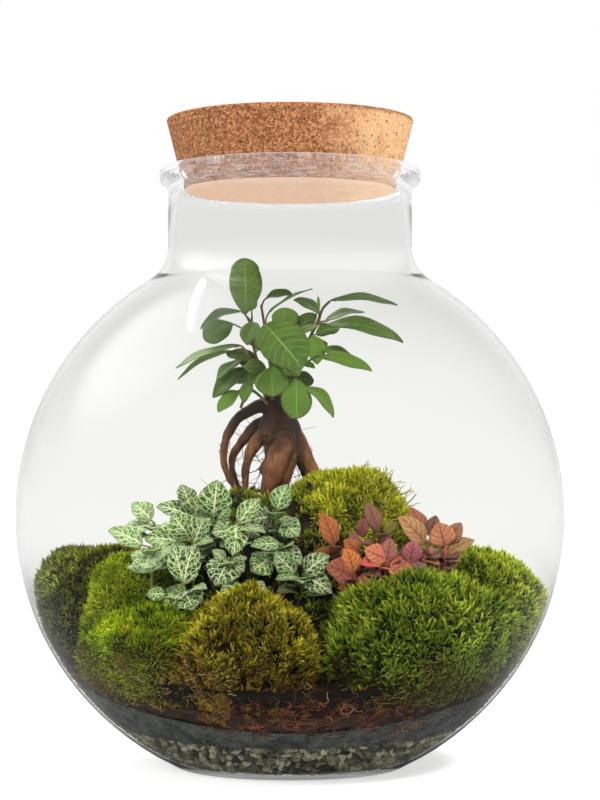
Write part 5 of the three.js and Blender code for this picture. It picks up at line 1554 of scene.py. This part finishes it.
def white_world():
    """White all round, dimmer low down and in what the glass mirrors at its upper left."""
    world = bpy.data.worlds.new("white_studio")
    bpy.context.scene.world = world
    world.use_nodes = True
    world.node_tree.nodes.clear()
    t = Tree(world.node_tree)
    way = t.put("ShaderNodeTexCoord").outputs["Generated"]
    height = t.parts(way)[2]
    near = t.vector("DOT_PRODUCT", {0: way, 1: GLOW_WAY})["Value"]
    lower = t.maths("ADD", t.ramp(height, 0.0, 0.3, 0.15, 0.0), t.ramp(near, 0.86, 0.99, 0.0, -4.0))
    diffuse = t.put("ShaderNodeLightPath").outputs["Is Diffuse Ray"]
    loss = t.times(mirrored_by_glass(t), lower, t.times(diffuse, 0.65))
    strength = t.maths("SUBTRACT", t.ramp(height, 0.02, 0.11, 1.2, 1.0), loss)
    back = t.made("ShaderNodeBackground", {"Color": (1, 1, 1, 1), "Strength": strength})
    t.put("ShaderNodeOutputWorld", {0: back})


def soft_box(name, place, aim_height, width, height, power, along=None):
    """An area lamp aimed at the middle of the object. Only one with a given upright shows in the glass."""
    lamp = bpy.data.lights.new(name, "AREA")
    lamp.shape, lamp.size, lamp.size_y, lamp.energy = "RECTANGLE", width, height, power
    box = linked(name, lamp)
    facing = (Vector(place) - Vector((0, 0, aim_height))).normalized()
    upright = Vector(along or (0, 0, 1))
    upright = (upright - facing * upright.dot(facing)).normalized()
    box.location = place
    box.rotation_mode = "QUATERNION"
    box.rotation_quaternion = Matrix((upright.cross(facing), upright, facing)).transposed().to_quaternion()
    box.visible_glossy = box.visible_transmission = along is not None


def camera():
    data = bpy.data.cameras.new("camera")
    data.lens = CAMERA_LENS
    data.clip_start, data.clip_end = 0.01, 50
    made = linked("camera", data)
    made.location = (0, -CAMERA_DISTANCE, CAMERA_HEIGHT)
    made.rotation_euler = (math.radians(CAMERA_PITCH), 0, math.radians(CAMERA_TURN))
    bpy.context.scene.camera = made


def view_settings():
    scene = bpy.context.scene
    scene.view_settings.view_transform, scene.view_settings.look = "Standard", "None"
    light_paths = {"max_bounces": 16, "transmission_bounces": 12, "transparent_max_bounces": 24,
                   "diffuse_bounces": 3, "glossy_bounces": 4, "caustics_refractive": False,
                   "caustics_reflective": False}
    for key, value in light_paths.items():
        setattr(scene.cycles, key, value)


camera()
pale_floor()
white_world()
soft_box("key_box", (0.75, -0.7, 1.3), 0.12, 0.4, 0.4, 28)
soft_box("fill_box", (-0.9, -1.0, 0.8), 0.1, 0.5, 0.6, 14)
soft_box("top_box", (-0.2, 0.2, 1.5), 0.1, 0.4, 0.4, 28)
soft_box("streak_box", (-0.42, 0.55, 1.15), 0.15, 0.035, 1.1, 9, (-0.4, -0.86, 0.3))
view_settings()

glass_jar()
cork_stopper()
gravel_bed()
dark_soil()
planted_hill()
fibre_mat()
strands_behind_the_glass()
for index, (name, row) in enumerate(CUSHIONS.items()):
    moss_cushion(name, row, index)
moss_carpet()
loose_shoots()
ficus_trunk()
rootlets()
ficus_shoots()
nerve_plants()
